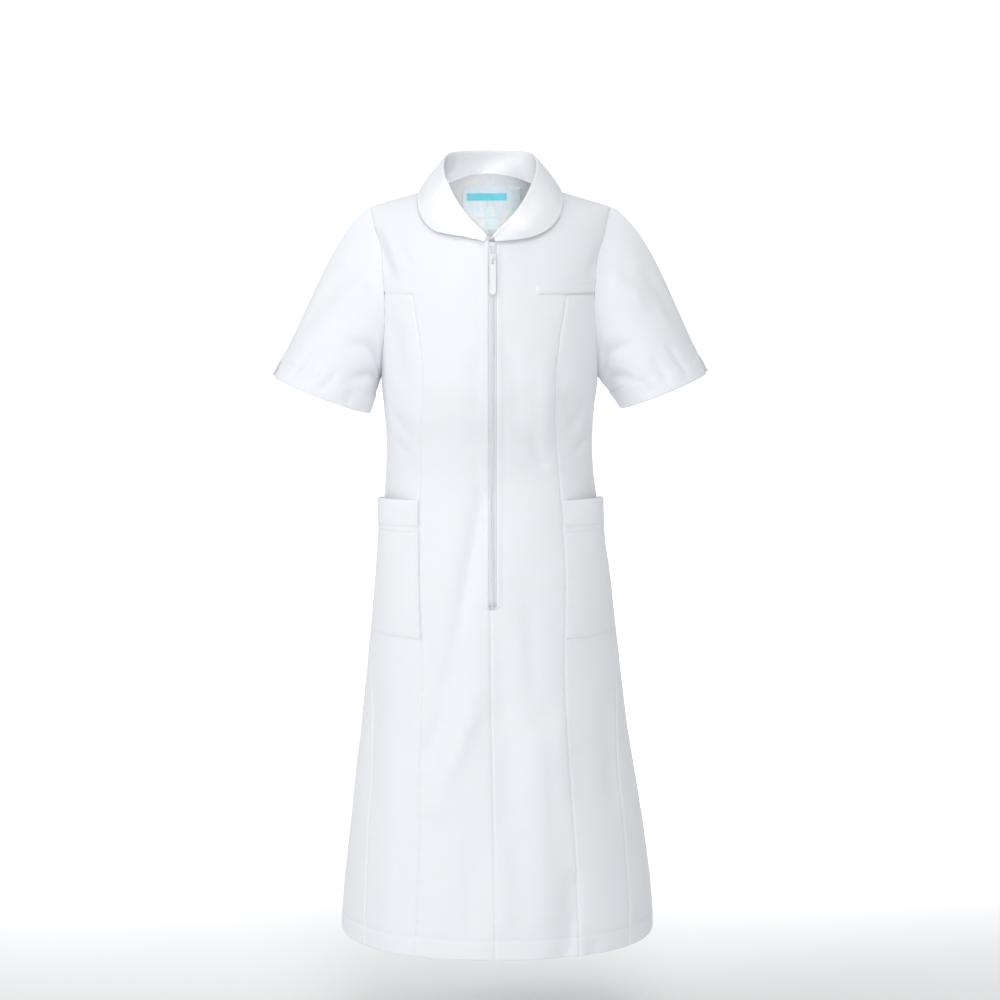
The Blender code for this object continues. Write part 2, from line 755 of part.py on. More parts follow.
# --- pockets -----------------------------------------------------------------------------------
def side_pocket(side, finish):
    """Patch pocket sewn at princess seam, side seam and bottom, standing open at its mouth."""
    rows_count, columns_count = 8, 8
    frames = {}
    rows = []
    for row in range(rows_count + 1):
        keys = []
        for column in range(columns_count + 1):
            across = column / columns_count
            mouth = mix(POCKET_MOUTH_Z, POCKET_MOUTH_SIDE_Z, across)
            height = mix(POCKET_BOTTOM_Z, mouth, row / rows_count)
            level = height - UNDERARM_Z
            inset = POCKET_INSET / width_at(level)
            turn = mix(seam_turn(PRINCESS_SEAM, height) + inset,
                       seam_turn(SIDE_SEAM, height) - inset, across)
            point, normal = body_frame(side, turn, level)
            open_share = (row / rows_count) ** 1.6
            hump = math.sin(math.pi * across ** 1.7) ** 0.8 if 0.0 < across < 1.0 else 0.0
            gape = POCKET_GAPE * open_share * hump
            frames[(row, column)] = (point + normal * (SEAM + gape + WALL), normal)
            keys.append((row, column))
        rows.append(keys)
    wall("side_pocket_" + side_word(side), frames, grid_cells(rows), WALL, finish)


def strip_on_front(name, left, right, top, bottom, columns, rows_count, outer, thickness, finish,
                   back=False):
    """Flat-lying strip or label that follows the front or back at a distance from it."""
    frames = {}
    rows = []
    for row, height in enumerate(steps(bottom, top, rows_count)):
        keys = []
        for column, x in enumerate(steps(left, right, columns)):
            frames[(row, column)] = body_frame(*place_on_body(x, height, back))
            keys.append((row, column))
        rows.append(keys)
    wall(name, frames, grid_cells(rows), thickness, finish, outer)


# --- zip ---------------------------------------------------------------------------------------
def zip_middle():
    """Sideways place of the zip's coil."""
    return (ZIP_EDGE_LEFT_X + ZIP_EDGE_RIGHT_X) / 2


def box_object(name, low, high):
    """Plain box between two corners."""
    mesh = bpy.data.meshes.new(name)
    shape = bmesh.new()
    bmesh.ops.create_cube(shape, size=1.0)
    for vertex in shape.verts:
        for axis in range(3):
            vertex.co[axis] = mix(low[axis], high[axis], vertex.co[axis] + 0.5)
    shape.to_mesh(mesh)
    shape.free()
    made = bpy.data.objects.new(name, mesh)
    bpy.context.scene.collection.objects.link(made)
    return made


def combine(target, tool, operation):
    """Add or cut a hidden helper shape."""
    tool.hide_render = True
    tool.display_type = "WIRE"
    modifier = target.modifiers.new(operation.title() + " " + tool.name, "BOOLEAN")
    modifier.operation = operation
    modifier.solver = "EXACT"
    modifier.object = tool


def zip_slider_and_pull(finish):
    """Slider on the zip at the V, with a bridge that the pull tab's top bar hangs in."""
    middle_x = zip_middle()
    middle_z = SLIDER_TOP_Z - SLIDER_LENGTH / 2
    middle = body_frame(*place_on_body(middle_x, middle_z))[0]
    below = body_frame(*place_on_body(middle_x, middle_z - PULL_LENGTH))[0]
    head = bpy.data.objects.new("zip_head", None)
    bpy.context.scene.collection.objects.link(head)
    head.location = (middle_x, middle.y, middle_z)
    head.rotation_euler = (math.atan2(below.y - middle.y, middle.z - below.z), 0.0, 0.0)

    slider = box_object("zip_slider", (-SLIDER_WIDTH / 2, -SLIDER_PROUD, -SLIDER_LENGTH / 2),
                        (SLIDER_WIDTH / 2, SLIDER_THICK - SLIDER_PROUD, SLIDER_LENGTH / 2))
    slider.data.materials.append(finish)
    bridge = box_object("slider_bridge_shape",
                        (-BRIDGE_WIDTH / 2, -SLIDER_PROUD - BRIDGE_REACH, -BRIDGE_LENGTH / 2),
                        (BRIDGE_WIDTH / 2, -SLIDER_PROUD + SLIDER_THICK / 2, BRIDGE_LENGTH / 2))
    hole = box_object("slider_hole_shape",
                      (-BRIDGE_WIDTH, -SLIDER_PROUD - BRIDGE_HOLE, -BRIDGE_HOLE / 2),
                      (BRIDGE_WIDTH, -SLIDER_PROUD, BRIDGE_HOLE / 2))
    combine(slider, bridge, "UNION")
    combine(slider, hole, "DIFFERENCE")

    arc_steps = 8
    half = PULL_WIDTH / 2
    top = PULL_BAR / 2
    outline = []
    for index in range(arc_steps + 1):
        angle = math.pi * index / arc_steps
        outline.append((math.cos(angle) * half, top - PULL_LENGTH + half - math.sin(angle) * half))
    outline += [(-half, top - PULL_SHOULDER * 2), (-PULL_SHOULDER, top), (PULL_SHOULDER, top),
                (half, top - PULL_SHOULDER * 2)]
    mesh = bpy.data.meshes.new("zip_pull")
    shape = bmesh.new()
    plate = shape.faces.new([shape.verts.new((x, -PULL_THICK / 2, z)) for x, z in outline])
    grown = bmesh.ops.extrude_face_region(shape, geom=[plate])
    for element in grown["geom"]:
        if isinstance(element, bmesh.types.BMVert):
            element.co.y += PULL_THICK
    bmesh.ops.recalc_face_normals(shape, faces=shape.faces)
    shape.to_mesh(mesh)
    shape.free()
    pull = add_object("zip_pull", mesh, finish)
    pull.location = (0.0, -SLIDER_PROUD - BRIDGE_HOLE / 2, 0.0)
    window = box_object("pull_window_shape",
                        (-PULL_WINDOW_WIDTH / 2, -0.01, -PULL_BAR / 2 - PULL_WINDOW_LENGTH),
                        (PULL_WINDOW_WIDTH / 2, 0.01, -PULL_BAR / 2))
    window.parent = pull
    combine(pull, window, "DIFFERENCE")
    for piece in (slider, bridge, hole, pull):
        piece.parent = head


def main():
    """Clear the file and make every piece of the dress."""
    for leftover in list(bpy.data.objects):
        bpy.data.objects.remove(leftover, do_unlink=True)
    cloth = material("cloth", CLOTH_WHITE, 0.85)
    label = material("label", LABEL_GREY, 0.7)
    zip_finish = material("zip", ZIP_WHITE, 0.45)
    for side in (1, -1):
        front_centre(side, cloth)
        front_side(side, cloth)
        sleeve(side, cloth)
        side_pocket(side, cloth)
        back_panel(side, cloth)
    collar(cloth)
    strip_on_front("chest_pocket_welt", WELT_INNER_X, WELT_OUTER_X, WELT_TOP_Z, WELT_BOTTOM_Z, 8, 2,
                   WELT_PROUD + WALL, WALL, cloth)
    strip_on_front("zip_tape", TAPE_RIGHT_X, TAPE_LEFT_X, NECK_V_Z - 0.004, ZIP_END_Z - 0.010, 2, 20,
                   -WALL - BEHIND, TAPE_WALL, zip_finish)
    for name, left, right, top, bottom in (NECK_LABEL, SIZE_LABEL):
        strip_on_front(name, left, right, top, bottom, 6, 3, -WALL - BEHIND, LABEL_WALL, label,
                       back=True)
    zip_slider_and_pull(zip_finish)


main()
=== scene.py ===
"""Looks of a nurse uniform dress: cloth shells, stitching, zip, labels and the studio stage.

The packed model is the frame. Each cloth piece stands on the same garment surface as its solid,
with finer rows, sewn edges and soft creases. Metres, +Z up, the front faces -Y and +X is the
wearer's left. The origin lies midway between the side neck points.
"""
import math

import bmesh
import bpy
import numpy as np
from bpy.props import FloatProperty, FloatVectorProperty, PointerProperty
from mathutils import Euler, Matrix, Vector


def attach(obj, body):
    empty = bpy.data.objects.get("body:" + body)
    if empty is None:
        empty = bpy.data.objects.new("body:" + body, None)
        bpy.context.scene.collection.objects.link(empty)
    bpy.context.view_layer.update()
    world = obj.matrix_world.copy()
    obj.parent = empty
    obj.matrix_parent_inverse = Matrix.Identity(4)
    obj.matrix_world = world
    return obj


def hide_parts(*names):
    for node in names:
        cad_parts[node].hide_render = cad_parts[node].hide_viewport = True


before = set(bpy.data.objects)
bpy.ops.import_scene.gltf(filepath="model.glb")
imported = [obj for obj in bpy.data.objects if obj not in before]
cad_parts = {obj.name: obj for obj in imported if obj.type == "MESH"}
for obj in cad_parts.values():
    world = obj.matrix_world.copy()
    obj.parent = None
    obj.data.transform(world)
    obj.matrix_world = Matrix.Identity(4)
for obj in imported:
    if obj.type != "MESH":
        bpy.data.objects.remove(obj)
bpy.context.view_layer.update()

bl_info = {
    "name": "Nurse Uniform Dress",
    "version": (1, 0, 0),
    "blender": (4, 5, 0),
    "location": "3D View > Sidebar > Dress",
    "description": "Builds the cloth, stitching, zip and labels of a zip-fronted uniform dress",
    "category": "Object",
}

# --- the garment's driving sizes, as in the packed model -------------------
WALL = 0.0014             # cloth wall of the panels
SEAM = 0.0003             # gap between neighbouring solids
UNDERARM_Z = -0.250
HEM_Z = -0.990
CHEST_SEAM_Z = -0.138
ZIP_END_Z = -0.539
NECK_V_Z = -0.066
NECK_BACK_Z = 0.017
NECK_SIDE_X = 0.066
SHOULDER_TIP_X = 0.158
SHOULDER_DROP = 0.026
NECK_RISE = 0.055
ROUND = 2.2
FRONT_NECK_POWER = 1.2
TIP_STEADY = 0.35
FRONT_NOTCH = 0.078
BACK_NOTCH = 0.068
ZIP_EDGE_LEFT_X = 0.0085
ZIP_EDGE_RIGHT_X = -0.0020
CENTRE_SEAM_X = -0.0030

# Body sections below the underarm: height, sideways drift of the middle, half width, depths.
SECTIONS = [
    # height, centre, half_width, front, back
    (-0.250, -0.0010, 0.1425, 0.130, 0.104),
    (-0.290, -0.0015, 0.1390, 0.124, 0.100),
    (-0.335, -0.0015, 0.1362, 0.111, 0.095),
    (-0.375, -0.0010, 0.1375, 0.104, 0.092),
    (-0.415, 0.0000, 0.1418, 0.107, 0.098),
    (-0.460, 0.0015, 0.1475, 0.115, 0.110),
    (-0.510, 0.0028, 0.1555, 0.124, 0.123),
    (-0.560, 0.0034, 0.1612, 0.131, 0.132),
    (-0.640, 0.0040, 0.1695, 0.141, 0.142),
    (-0.720, 0.0050, 0.1788, 0.152, 0.152),
    (-0.800, 0.0070, 0.1900, 0.164, 0.162),
    (-0.870, 0.0085, 0.1995, 0.175, 0.171),
    (-0.940, 0.0092, 0.2070, 0.186, 0.179),
    (-0.990, 0.0090, 0.2093, 0.192, 0.183),
]

# Long seams of one half of the dress: height and turn from the centre front, in degrees.
PRINCESS_SEAM = [
    # height, turn
    (-0.138, 39.5),
    (-0.196, 36.5),
    (-0.255, 35.5),
    (-0.355, 39.0),
    (-0.443, 38.3),
    (-0.601, 32.2),
    (-0.782, 29.5),
    (-0.990, 28.5),
]
SIDE_SEAM = [
    # height, turn
    (-0.250, 90.0),
    (-0.410, 85.0),
    (-0.600, 75.5),
    (-0.700, 66.0),
    (-0.780, 60.0),
    (-0.990, 54.0),
]

# Large soft folds, as in the solids: a path of three points, reach and depth, in millimetres.
# A positive depth is a trough, a negative one a ridge.
FOLDS = {
    # x1, z1, x2, z2, x3, z3, reach, depth
    "front": [
        (-12, -400, -38, -560, -78, -735, 14, 4.5),
        (-20, -655, -42, -735, -72, -800, 16, -3.5),
        (16, -590, 18, -700, 24, -800, 18, 3),
        (62, -720, 64, -820, 66, -930, 20, -4),
        (108, -900, 101, -955, 93, -990, 14, 4.5),
        (-118, -760, -126, -880, -130, -990, 22, -4),
    ],
    "back": [
        (-70, -640, -82, -820, -94, -990, 24, 6),
        (10, -600, 14, -800, 20, -990, 26, -5.5),
        (92, -660, 104, -830, 112, -990, 24, 6),
    ],
}

# --- looks: sewing and soft shape, in metres -------------------------------
SHELL_STEP = 0.0036       # usual spacing of a shell's rows
SHELL_SPREAD = 0.0060     # usual spacing of its columns
EDGE_OFFSETS = (0.0, 0.0007, 0.0015, 0.0025, 0.0040, 0.0062, 0.0092)
NORMAL_STEP = 0.004       # step for the direction of the surface
SEAM_DIP = 0.0011         # how far cloth turns in at a plain seam
SEAM_DIP_REACH = 0.0017
SEAM_WIDTH = 0.0018       # reach of the dip along the seam under the arm
PUCKER_DEPTH = 0.00022    # tiny waves that the thread draws along a seam
PUCKER_REACH = 0.0075
PUCKER_WAVE = 0.0135
STITCH_SIDES = 5          # corners of a thread's section
STITCH_RINGS = (0.0, 0.25, 0.5, 0.75, 1.0)
STITCH_LOOK = 0.0004      # step for the direction of a row of stitches
COIL_SIDES = 6

# Softer creases over the large folds, fading at both ends. lean says how much steeper the side to
# the right of the path is.
CREASES = {
    # x1, z1, x2, z2, x3, z3, reach, depth, in millimetres; lean
    "front": [
        # bodice, wearer's right: drape from the shoulder towards the chest
        (-153, -50, -140, -92, -121, -135, 7.5, 2.1, 0.3),
        (-140, -46, -128, -80, -112, -118, 7, -1.2, 0),
        (-120, -70, -110, -90, -100, -108, 5.5, 1, 0.2),
        (-128, -160, -121, -215, -117, -262, 9, 1.6, 0.2),
        (-98, -262, -94, -320, -96, -372, 12, -1.2, 0),
        (-128, -290, -116, -312, -101, -326, 6, 1.3, 0.4),
        (-130, -322, -117, -340, -103, -350, 5.5, 1, 0.4),
        # bodice, wearer's left: small diagonals below the bust, soft verticals
        (98, -258, 104, -290, 112, -322, 6.5, 1.6, 0.3),
        (50, -316, 62, -345, 74, -370, 7, 1.3, 0.2),
        (68, -190, 72, -285, 70, -385, 11, -1.2, 0),
        (89, -200, 90, -270, 86, -345, 8, 1.1, 0.2),
        (128, -262, 118, -298, 104, -320, 6, 1.3, -0.3),
        (132, -318, 120, -338, 106, -352, 5.5, 1.1, -0.3),
        (146, -60, 138, -98, 124, -120, 7, 1.3, 0.2),
        (20, -180, 32, -250, 36, -320, 12, 1.1, 0),
        (-26, -180, -36, -255, -34, -330, 12, -1, 0),
        # skirt front
        (-10, -384, -31, -494, -52, -600, 7.5, 1.2, 0.3),
        (-56, -660, -75, -706, -87, -737, 8, 1.4, 0.3),
        (-19, -661, -44, -728, -78, -782, 8.5, -1.3, 0),
        (45, -500, 52, -590, 55, -680, 11, 1.2, 0.2),
        (110, -920, 103, -974, 94, -995, 6, 1.5, 0.3),
        (136, -965, 133, -985, 130, -1000, 7.5, 1.6, 0.2),
        (86, -640, 92, -740, 96, -830, 12, -1.4, 0),
        (-96, -790, -104, -890, -108, -985, 12, 1.6, 0.2),
        (-20, -820, -26, -900, -30, -985, 14, 1.4, 0.2),
        (12, -830, 16, -905, 18, -985, 12, -1.2, 0),
        (-150, -620, -156, -720, -164, -830, 11, 1.5, 0.2),
        (150, -640, 158, -740, 166, -850, 11, 1.5, -0.2),
    ],
    "back": [
        # back: shoulder drape, waist and seat
        (-118, -60, -104, -120, -82, -175, 11, 1.6, 0.2),
        (116, -64, 100, -128, 80, -190, 12, 1.8, -0.2),
        (-128, -170, -112, -225, -88, -270, 9, 1.5, 0.2),
        (130, -180, 112, -232, 86, -282, 9, 1.4, -0.2),
        (-118, -335, -72, -352, -22, -346, 7.5, 1.6, 0.3),
        (120, -352, 70, -366, 26, -358, 8, 1.5, 0.3),
        (-70, -384, -20, -392, 40, -382, 8.5, 1.3, 0.3),
        (-6, -180, -10, -250, -6, -320, 14, -1.2, 0),
        (-42, -640, -48, -760, -50, -900, 13, -1.6, 0),
        (50, -620, 58, -750, 62, -900, 13, -1.7, 0),
        (-128, -600, -140, -730, -150, -880, 12, 1.7, 0.2),
        (134, -610, 146, -740, 154, -890, 12, 1.6, -0.2),
    ],
}
CREASE_STRENGTH = 2.0
CREASE_PARTS = 8          # straight parts in the smooth path of a crease
CREASE_FADE = 0.34        # share of the path over which a crease fades in or out

# Slow waves of hand-sewn cloth: amplitude, waves per metre sideways and upward, phase.
UNEVEN_WAVES = [
    (0.00030, 7.1, 3.3, 0.4),
    (0.00026, -5.2, 6.4, 2.1),
    (0.00018, 12.7, -8.9, 4.4),
    (0.00012, -17.0, 21.0, 1.3),
]


def mix(start, end, share):
    """Straight blend of two numbers, arrays or vectors."""
    return start + (end - start) * share


def spline(start, start_slope, end, end_slope, share):
    """Cubic from start to end with a slope at each."""
    square, cube = share ** 2, share ** 3
    return ((2 * cube - 3 * square + 1) * start + (cube - 2 * square + share) * start_slope
            + (3 * square - 2 * cube) * end + (cube - square) * end_slope)


def smooth_step(share):
    """0 to 1 with soft ends."""
    share = np.clip(share, 0.0, 1.0)
    return share * share * (3.0 - 2.0 * share)


def from_table(table, column, heights):
    """Smooth values of a table's column at many heights. Heights fall from row to row."""
    places = np.array([row[0] for row in table])
    values = np.array([row[column] for row in table])
    slopes = np.zeros(len(places))
    slopes[1:-1] = (values[2:] - values[:-2]) / (places[2:] - places[:-2])
    slopes[-1] = (values[-1] - values[-2]) / (places[-1] - places[-2])
    heights = np.clip(heights, places[-1], places[0])
    index = np.clip(np.searchsorted(-places, -heights, side="right") - 1, 0, len(places) - 2)
    span = places[index + 1] - places[index]
    return spline(values[index], slopes[index] * span, values[index + 1],
                  slopes[index + 1] * span, (heights - places[index]) / span)


def shoulder_height(x):
    """Height of the shoulder line, and of its smooth rise over the middle of the neck."""
    slope = SHOULDER_DROP / (SHOULDER_TIP_X - NECK_SIDE_X)
    rise = spline(NECK_RISE, 0.0, 0.0, -slope * NECK_SIDE_X, np.minimum(x / NECK_SIDE_X, 1.0))
    return np.where(x >= NECK_SIDE_X, (NECK_SIDE_X - x) * slope, rise)


def share_across(turn):
    """Sideways share of the half width at a turn."""
    return np.abs(np.sin(turn)) ** (2.0 / ROUND)


def turn_across(share, back=False):
    """The turn at which a sideways share is reached, on the front or the back."""
    turn = np.arcsin(np.clip(share, 0.0, 1.0) ** (ROUND / 2.0))
    return np.pi - turn if back else turn


def width_at(level):
    """Half width at a level."""
    level = np.asarray(level, float)
    below = from_table(SECTIONS, 2, UNDERARM_Z + level)
    above = mix(SECTIONS[0][2], SHOULDER_TIP_X, np.sin(np.clip(level, 0.0, 1.0) * np.pi / 2))
    return np.where(level <= 0.0, below, above)


def body_base(side, turn, level):
    """Points of the smooth garment surface."""
    side, turn, level = np.broadcast_arrays(side, turn, np.asarray(level, float))
    front = turn <= np.pi / 2
    across = share_across(turn)
    along = np.abs(np.cos(turn)) ** (2.0 / ROUND)
    low = np.minimum(level, 0.0) + UNDERARM_Z
    depth_low = np.where(front, from_table(SECTIONS, 3, low), from_table(SECTIONS, 4, low)) * along
    lift = np.clip(level, 0.0, 1.0) * np.pi / 2
    high = mix(UNDERARM_Z, shoulder_height(SHOULDER_TIP_X * across), np.sin(lift))
    depth_high = np.where(front, SECTIONS[0][3], SECTIONS[0][4]) * along * np.cos(lift) + SEAM / 2
    below = level <= 0.0
    middle = np.where(below, from_table(SECTIONS, 1, low), SECTIONS[0][1] * np.cos(lift))
    depth = np.where(below, depth_low, depth_high)
    return np.stack([middle + side * width_at(level) * across,
                     np.where(front, -depth, depth), np.where(below, low, high)], axis=-1)


def unit(vectors):
    """Vectors brought to length 1."""
    return vectors / np.maximum(np.linalg.norm(vectors, axis=-1, keepdims=True), 1e-12)


def body_normal(side, turn, level):
    """Outward directions of the smooth surface, steadied where it narrows to the shoulder tip."""
    side, turn, level = np.broadcast_arrays(side, turn, np.asarray(level, float))
    front = turn <= np.pi / 2
    away = np.maximum(np.abs(turn - np.pi / 2), TIP_STEADY * level)
    steady = np.pi / 2 + np.where(front, -away, away)
    turn = np.where(level > 0.0, steady, turn)
    low_turn = np.maximum(turn - NORMAL_STEP, 0.0)
    high_turn = np.minimum(turn + NORMAL_STEP, np.pi)
    high_turn = np.where(front, np.minimum(high_turn, np.pi / 2), high_turn)
    low_turn = np.where(front, low_turn, np.maximum(low_turn, np.pi / 2 + 1e-6))
    around = body_base(side, high_turn, level) - body_base(side, low_turn, level)
    upward = (body_base(side, turn, np.minimum(level + NORMAL_STEP, 1.0))
              - body_base(side, turn, level - NORMAL_STEP))
    normal = np.cross(around, upward) * side[..., None]
    normal[..., 1] = np.where(level > 0.999, 0.0, normal[..., 1])
    return unit(normal)


def distance_to_path(places, corners):
    """Signed distance of flat places from a path of corners, and the share of the way along it."""
    nearest = np.full(places.shape[:-1], 1.0)
    signed = np.ones(places.shape[:-1])
    way = np.zeros(places.shape[:-1])
    count = len(corners) - 1
    for index in range(count):
        start, run = corners[index], corners[index + 1] - corners[index]
        across, up = places[..., 0] - start[0], places[..., 1] - start[1]
        share = np.clip((across * run[0] + up * run[1]) / (run @ run), 0.0, 1.0)
        length = np.hypot(across - share * run[0], up - share * run[1])
        closer = length < nearest
        nearest = np.where(closer, length, nearest)
        signed = np.where(closer, np.sign(run[0] * up - run[1] * across), signed)
        way = np.where(closer, (index + share) / count, way)
    return nearest, signed, way


def near_path(places, corners, reach):
    """Whether any of the flat places lies near enough to a path to feel it."""
    low, high = corners.min(axis=0) - 4 * reach, corners.max(axis=0) + 4 * reach
    flat = places.reshape(-1, 2)
    return bool(np.any(np.all((flat > low) & (flat < high), axis=1)))


def crease_path(start, bend, end):
    """Corners of a crease's smooth path, which passes its middle point half-way."""
    start, bend, end = np.array(start), np.array(bend), np.array(end)
    control = 2.0 * bend - (start + end) / 2.0
    shares = np.linspace(0.0, 1.0, CREASE_PARTS + 1)[:, None]
    return (1 - shares) ** 2 * start + 2 * shares * (1 - shares) * control + shares ** 2 * end


def fade_at_ends(way, part):
    """1 along the middle of a way from 0 to 1, falling to 0 over a part of it at each end."""
    return smooth_step(way / part) * smooth_step((1.0 - way) / part)


def deep_folds(places, back):
    """Push of the large folds at flat places. back marks those of the back."""
    push = np.zeros(places.shape[:-1])
    for face, folds in FOLDS.items():
        for x1, z1, x2, z2, x3, z3, reach, depth in np.array(folds) / 1000.0:
            path = np.array([(x1, z1), (x2, z2), (x3, z3)])
            if near_path(places, path, reach):
                nearest = distance_to_path(places, path)[0]
                dip = depth * np.exp(-(nearest / reach) ** 2)
                push -= np.where(back == (face == "back"), dip, 0.0)
    return push


def fold_push(points, back):
    """Push of folds, creases and slow waves. back marks the back's points."""
    places = points[..., [0, 2]]
    push = deep_folds(places, back)
    for face, creases in CREASES.items():
        for row in creases:
            x1, z1, x2, z2, x3, z3, reach, depth = np.array(row[:8]) / 1000.0
            path = crease_path((x1, z1), (x2, z2), (x3, z3))
            if near_path(places, path, reach):
                nearest, signed, way = distance_to_path(places, path)
                width = reach * (1.0 + row[8] * signed)
                dip = depth * fade_at_ends(way, CREASE_FADE) * np.exp(-(nearest / width) ** 2)
                push -= np.where(back == (face == "back"), CREASE_STRENGTH * dip, 0.0)
    outward = np.where(back, -1.0, 1.0)
    for height, sideways, upward, phase in UNEVEN_WAVES:
        turns = sideways * points[..., 0] + upward * points[..., 2]
        push += height * np.sin(2 * np.pi * turns + phase) * outward
    return push


def body_frame(side, turn, level):
    """Creased surface points and the outward directions there."""
    base = body_base(side, turn, level)
    normal = body_normal(side, turn, level)
    turn = np.broadcast_to(turn, base.shape[:-1])
    return base + normal * fold_push(base, turn > np.pi / 2)[..., None], normal


def level_at(turn, height):
    """Level at which the surface reaches a height, at a turn."""
    top = shoulder_height(SHOULDER_TIP_X * share_across(turn))
    rise = np.clip((height - UNDERARM_Z) / (top - UNDERARM_Z), 0.0, 1.0)
    return np.where(np.asarray(height) <= UNDERARM_Z, np.asarray(height) - UNDERARM_Z,
                    np.arcsin(rise) / (np.pi / 2))


def turn_at(x, level, back=False):
    """Turn at which the surface is x away from the dress's middle, at a level."""
    return turn_across(np.abs(x) / width_at(level), back)


def place_on_body(x, height, back=False):
    """Side, turn and level of the surface points with these x and heights."""
    x, height = np.broadcast_arrays(np.asarray(x, float), np.asarray(height, float))
    side = np.where(x >= 0.0, 1.0, -1.0)
    level = np.zeros(x.shape)
    turn = np.zeros(x.shape)
    for _ in range(10):
        middle = np.where(level > 0.0, SECTIONS[0][1] * np.cos(level * np.pi / 2),
                          from_table(SECTIONS, 1, height))
        offset = (x - middle) * side
        turn = turn_at(np.maximum(offset, 0.0), level, back)
        level = level_at(turn, height)
    return side, turn, level


def armhole_turn(level, back=False):
    """Turn of the armhole's edge at a level above the underarm."""
    rise = np.sin(np.clip(level, 0.0, 1.0) * np.pi / 2)
    notch = BACK_NOTCH if back else FRONT_NOTCH
    return turn_across(1.0 - notch * np.maximum(np.sin(np.pi * rise), 0.0) ** 1.3, back)


def neck_edge(share, back=False):
    """Turn and level of the neck edge, from the centre neck point (0) to the shoulder (1)."""
    quarter = np.asarray(share, float) * np.pi / 2
    if back:
        x = NECK_SIDE_X * np.sin(quarter)
        height = NECK_BACK_Z * np.cos(quarter) ** 2
    else:
        x = NECK_SIDE_X * np.sin(quarter) ** FRONT_NECK_POWER
        height = NECK_V_Z * (1.0 - np.asarray(share, float))
    turn = turn_across(x / SHOULDER_TIP_X, back)
    return turn, level_at(turn, height)


def yoke_level(turn, way):
    """Level of the yoke part at a share of the way from the chest seam to the shoulder."""
    return mix(level_at(turn, CHEST_SEAM_Z), 1.0, way)


def yoke_armhole_level(way):
    """Level of the front armhole edge at a share of the way up the yoke part."""
    level = np.asarray(way, float)
    for _ in range(12):
        level = yoke_level(armhole_turn(level), way)
    return level


def armhole_level_at(height):
    """Level at which the front armhole edge reaches a height."""
    level = np.zeros(np.shape(height))
    for _ in range(12):
        level = level_at(armhole_turn(level), height)
    return level


def seam_turn(table, height):
    """Turn of a long seam at a height, in radians."""
    return np.radians(from_table(table, 1, height))


# --- turning grids into cloth ----------------------------------------------
def spaced(length, spacing, offsets=EDGE_OFFSETS, far_offsets=EDGE_OFFSETS):
    """Shares from 0 to 1 across a length: close together at both edges, evenly between."""
    near = [offset / length for offset in offsets]
    far = [1.0 - offset / length for offset in reversed(far_offsets)]
    count = max(int(round((far[0] - near[-1]) * length / spacing)), 1)
    between = [mix(near[-1], far[0], index / count) for index in range(1, count)]
    return np.array(near + between + far)


def heights_between(low, high, spacing=SHELL_STEP):
    """Evenly spaced heights, both ends included."""
    return np.linspace(low, high, max(int(round((high - low) / spacing)), 1) + 1)


def arc_lengths(points, axis):
    """Length along a grid's rows or columns, from its first line."""
    runs = np.linalg.norm(np.diff(points, axis=axis), axis=-1)
    start = np.zeros_like(np.take(points, [0], axis=axis)[..., 0])
    return np.concatenate([start, np.cumsum(runs, axis=axis)], axis=axis)


def seam_relief(distance, along):
    """Push of a plain seam: the cloth turns in at its edge, and puckers a little beside it."""
    dip = SEAM_DIP * np.exp(-(distance / SEAM_DIP_REACH) ** 2)
    wave = np.sin(2 * np.pi * along / PUCKER_WAVE + 1.3 * np.sin(9.0 * along / PUCKER_WAVE / 4))
    pucker = PUCKER_DEPTH * np.exp(-(distance / PUCKER_REACH) ** 2) * (wave - 0.4)
    return pucker - dip


def stitch_groove(distance, place, depth=0.00045, reach=0.0013):
    """Push of a row of top-stitches at a distance from an edge."""
    return -depth * np.exp(-((distance - place) / reach) ** 2)


def plateau(distance, start, end, soft=0.0008):
    """1 between two distances, 0 outside, with soft shoulders."""
    return smooth_step((distance - start) / soft + 0.5) * smooth_step((end - distance) / soft + 0.5)


def link(made):
    """Put an object in the scene."""
    bpy.context.scene.collection.objects.link(made)
    return made


def object_of(name, shape, *finish):
    """Object from a finished bmesh, with its finish if it has one."""
    mesh = bpy.data.meshes.new(name)
    shape.to_mesh(mesh)
    shape.free()
    for each in finish:
        mesh.materials.append(each)
    return link(bpy.data.objects.new(name, mesh))


def mesh_object(name, vertices, faces, finish, sharp=50.0):
    """Object from vertices and faces, smooth over soft turns, with its outside facing out."""
    plain = bpy.data.meshes.new(name)
    plain.from_pydata([tuple(vertex) for vertex in vertices], [], faces)
    shape = bmesh.new()
    shape.from_mesh(plain)
    bpy.data.meshes.remove(plain)
    bmesh.ops.remove_doubles(shape, verts=shape.verts, dist=1e-6)
    if shape.calc_volume(signed=True) < 0.0:
        bmesh.ops.reverse_faces(shape, faces=shape.faces)
    made = object_of(name, shape, finish)
    made.data.shade_smooth()
    made.data.set_sharp_from_angle(angle=math.radians(sharp))
    return made


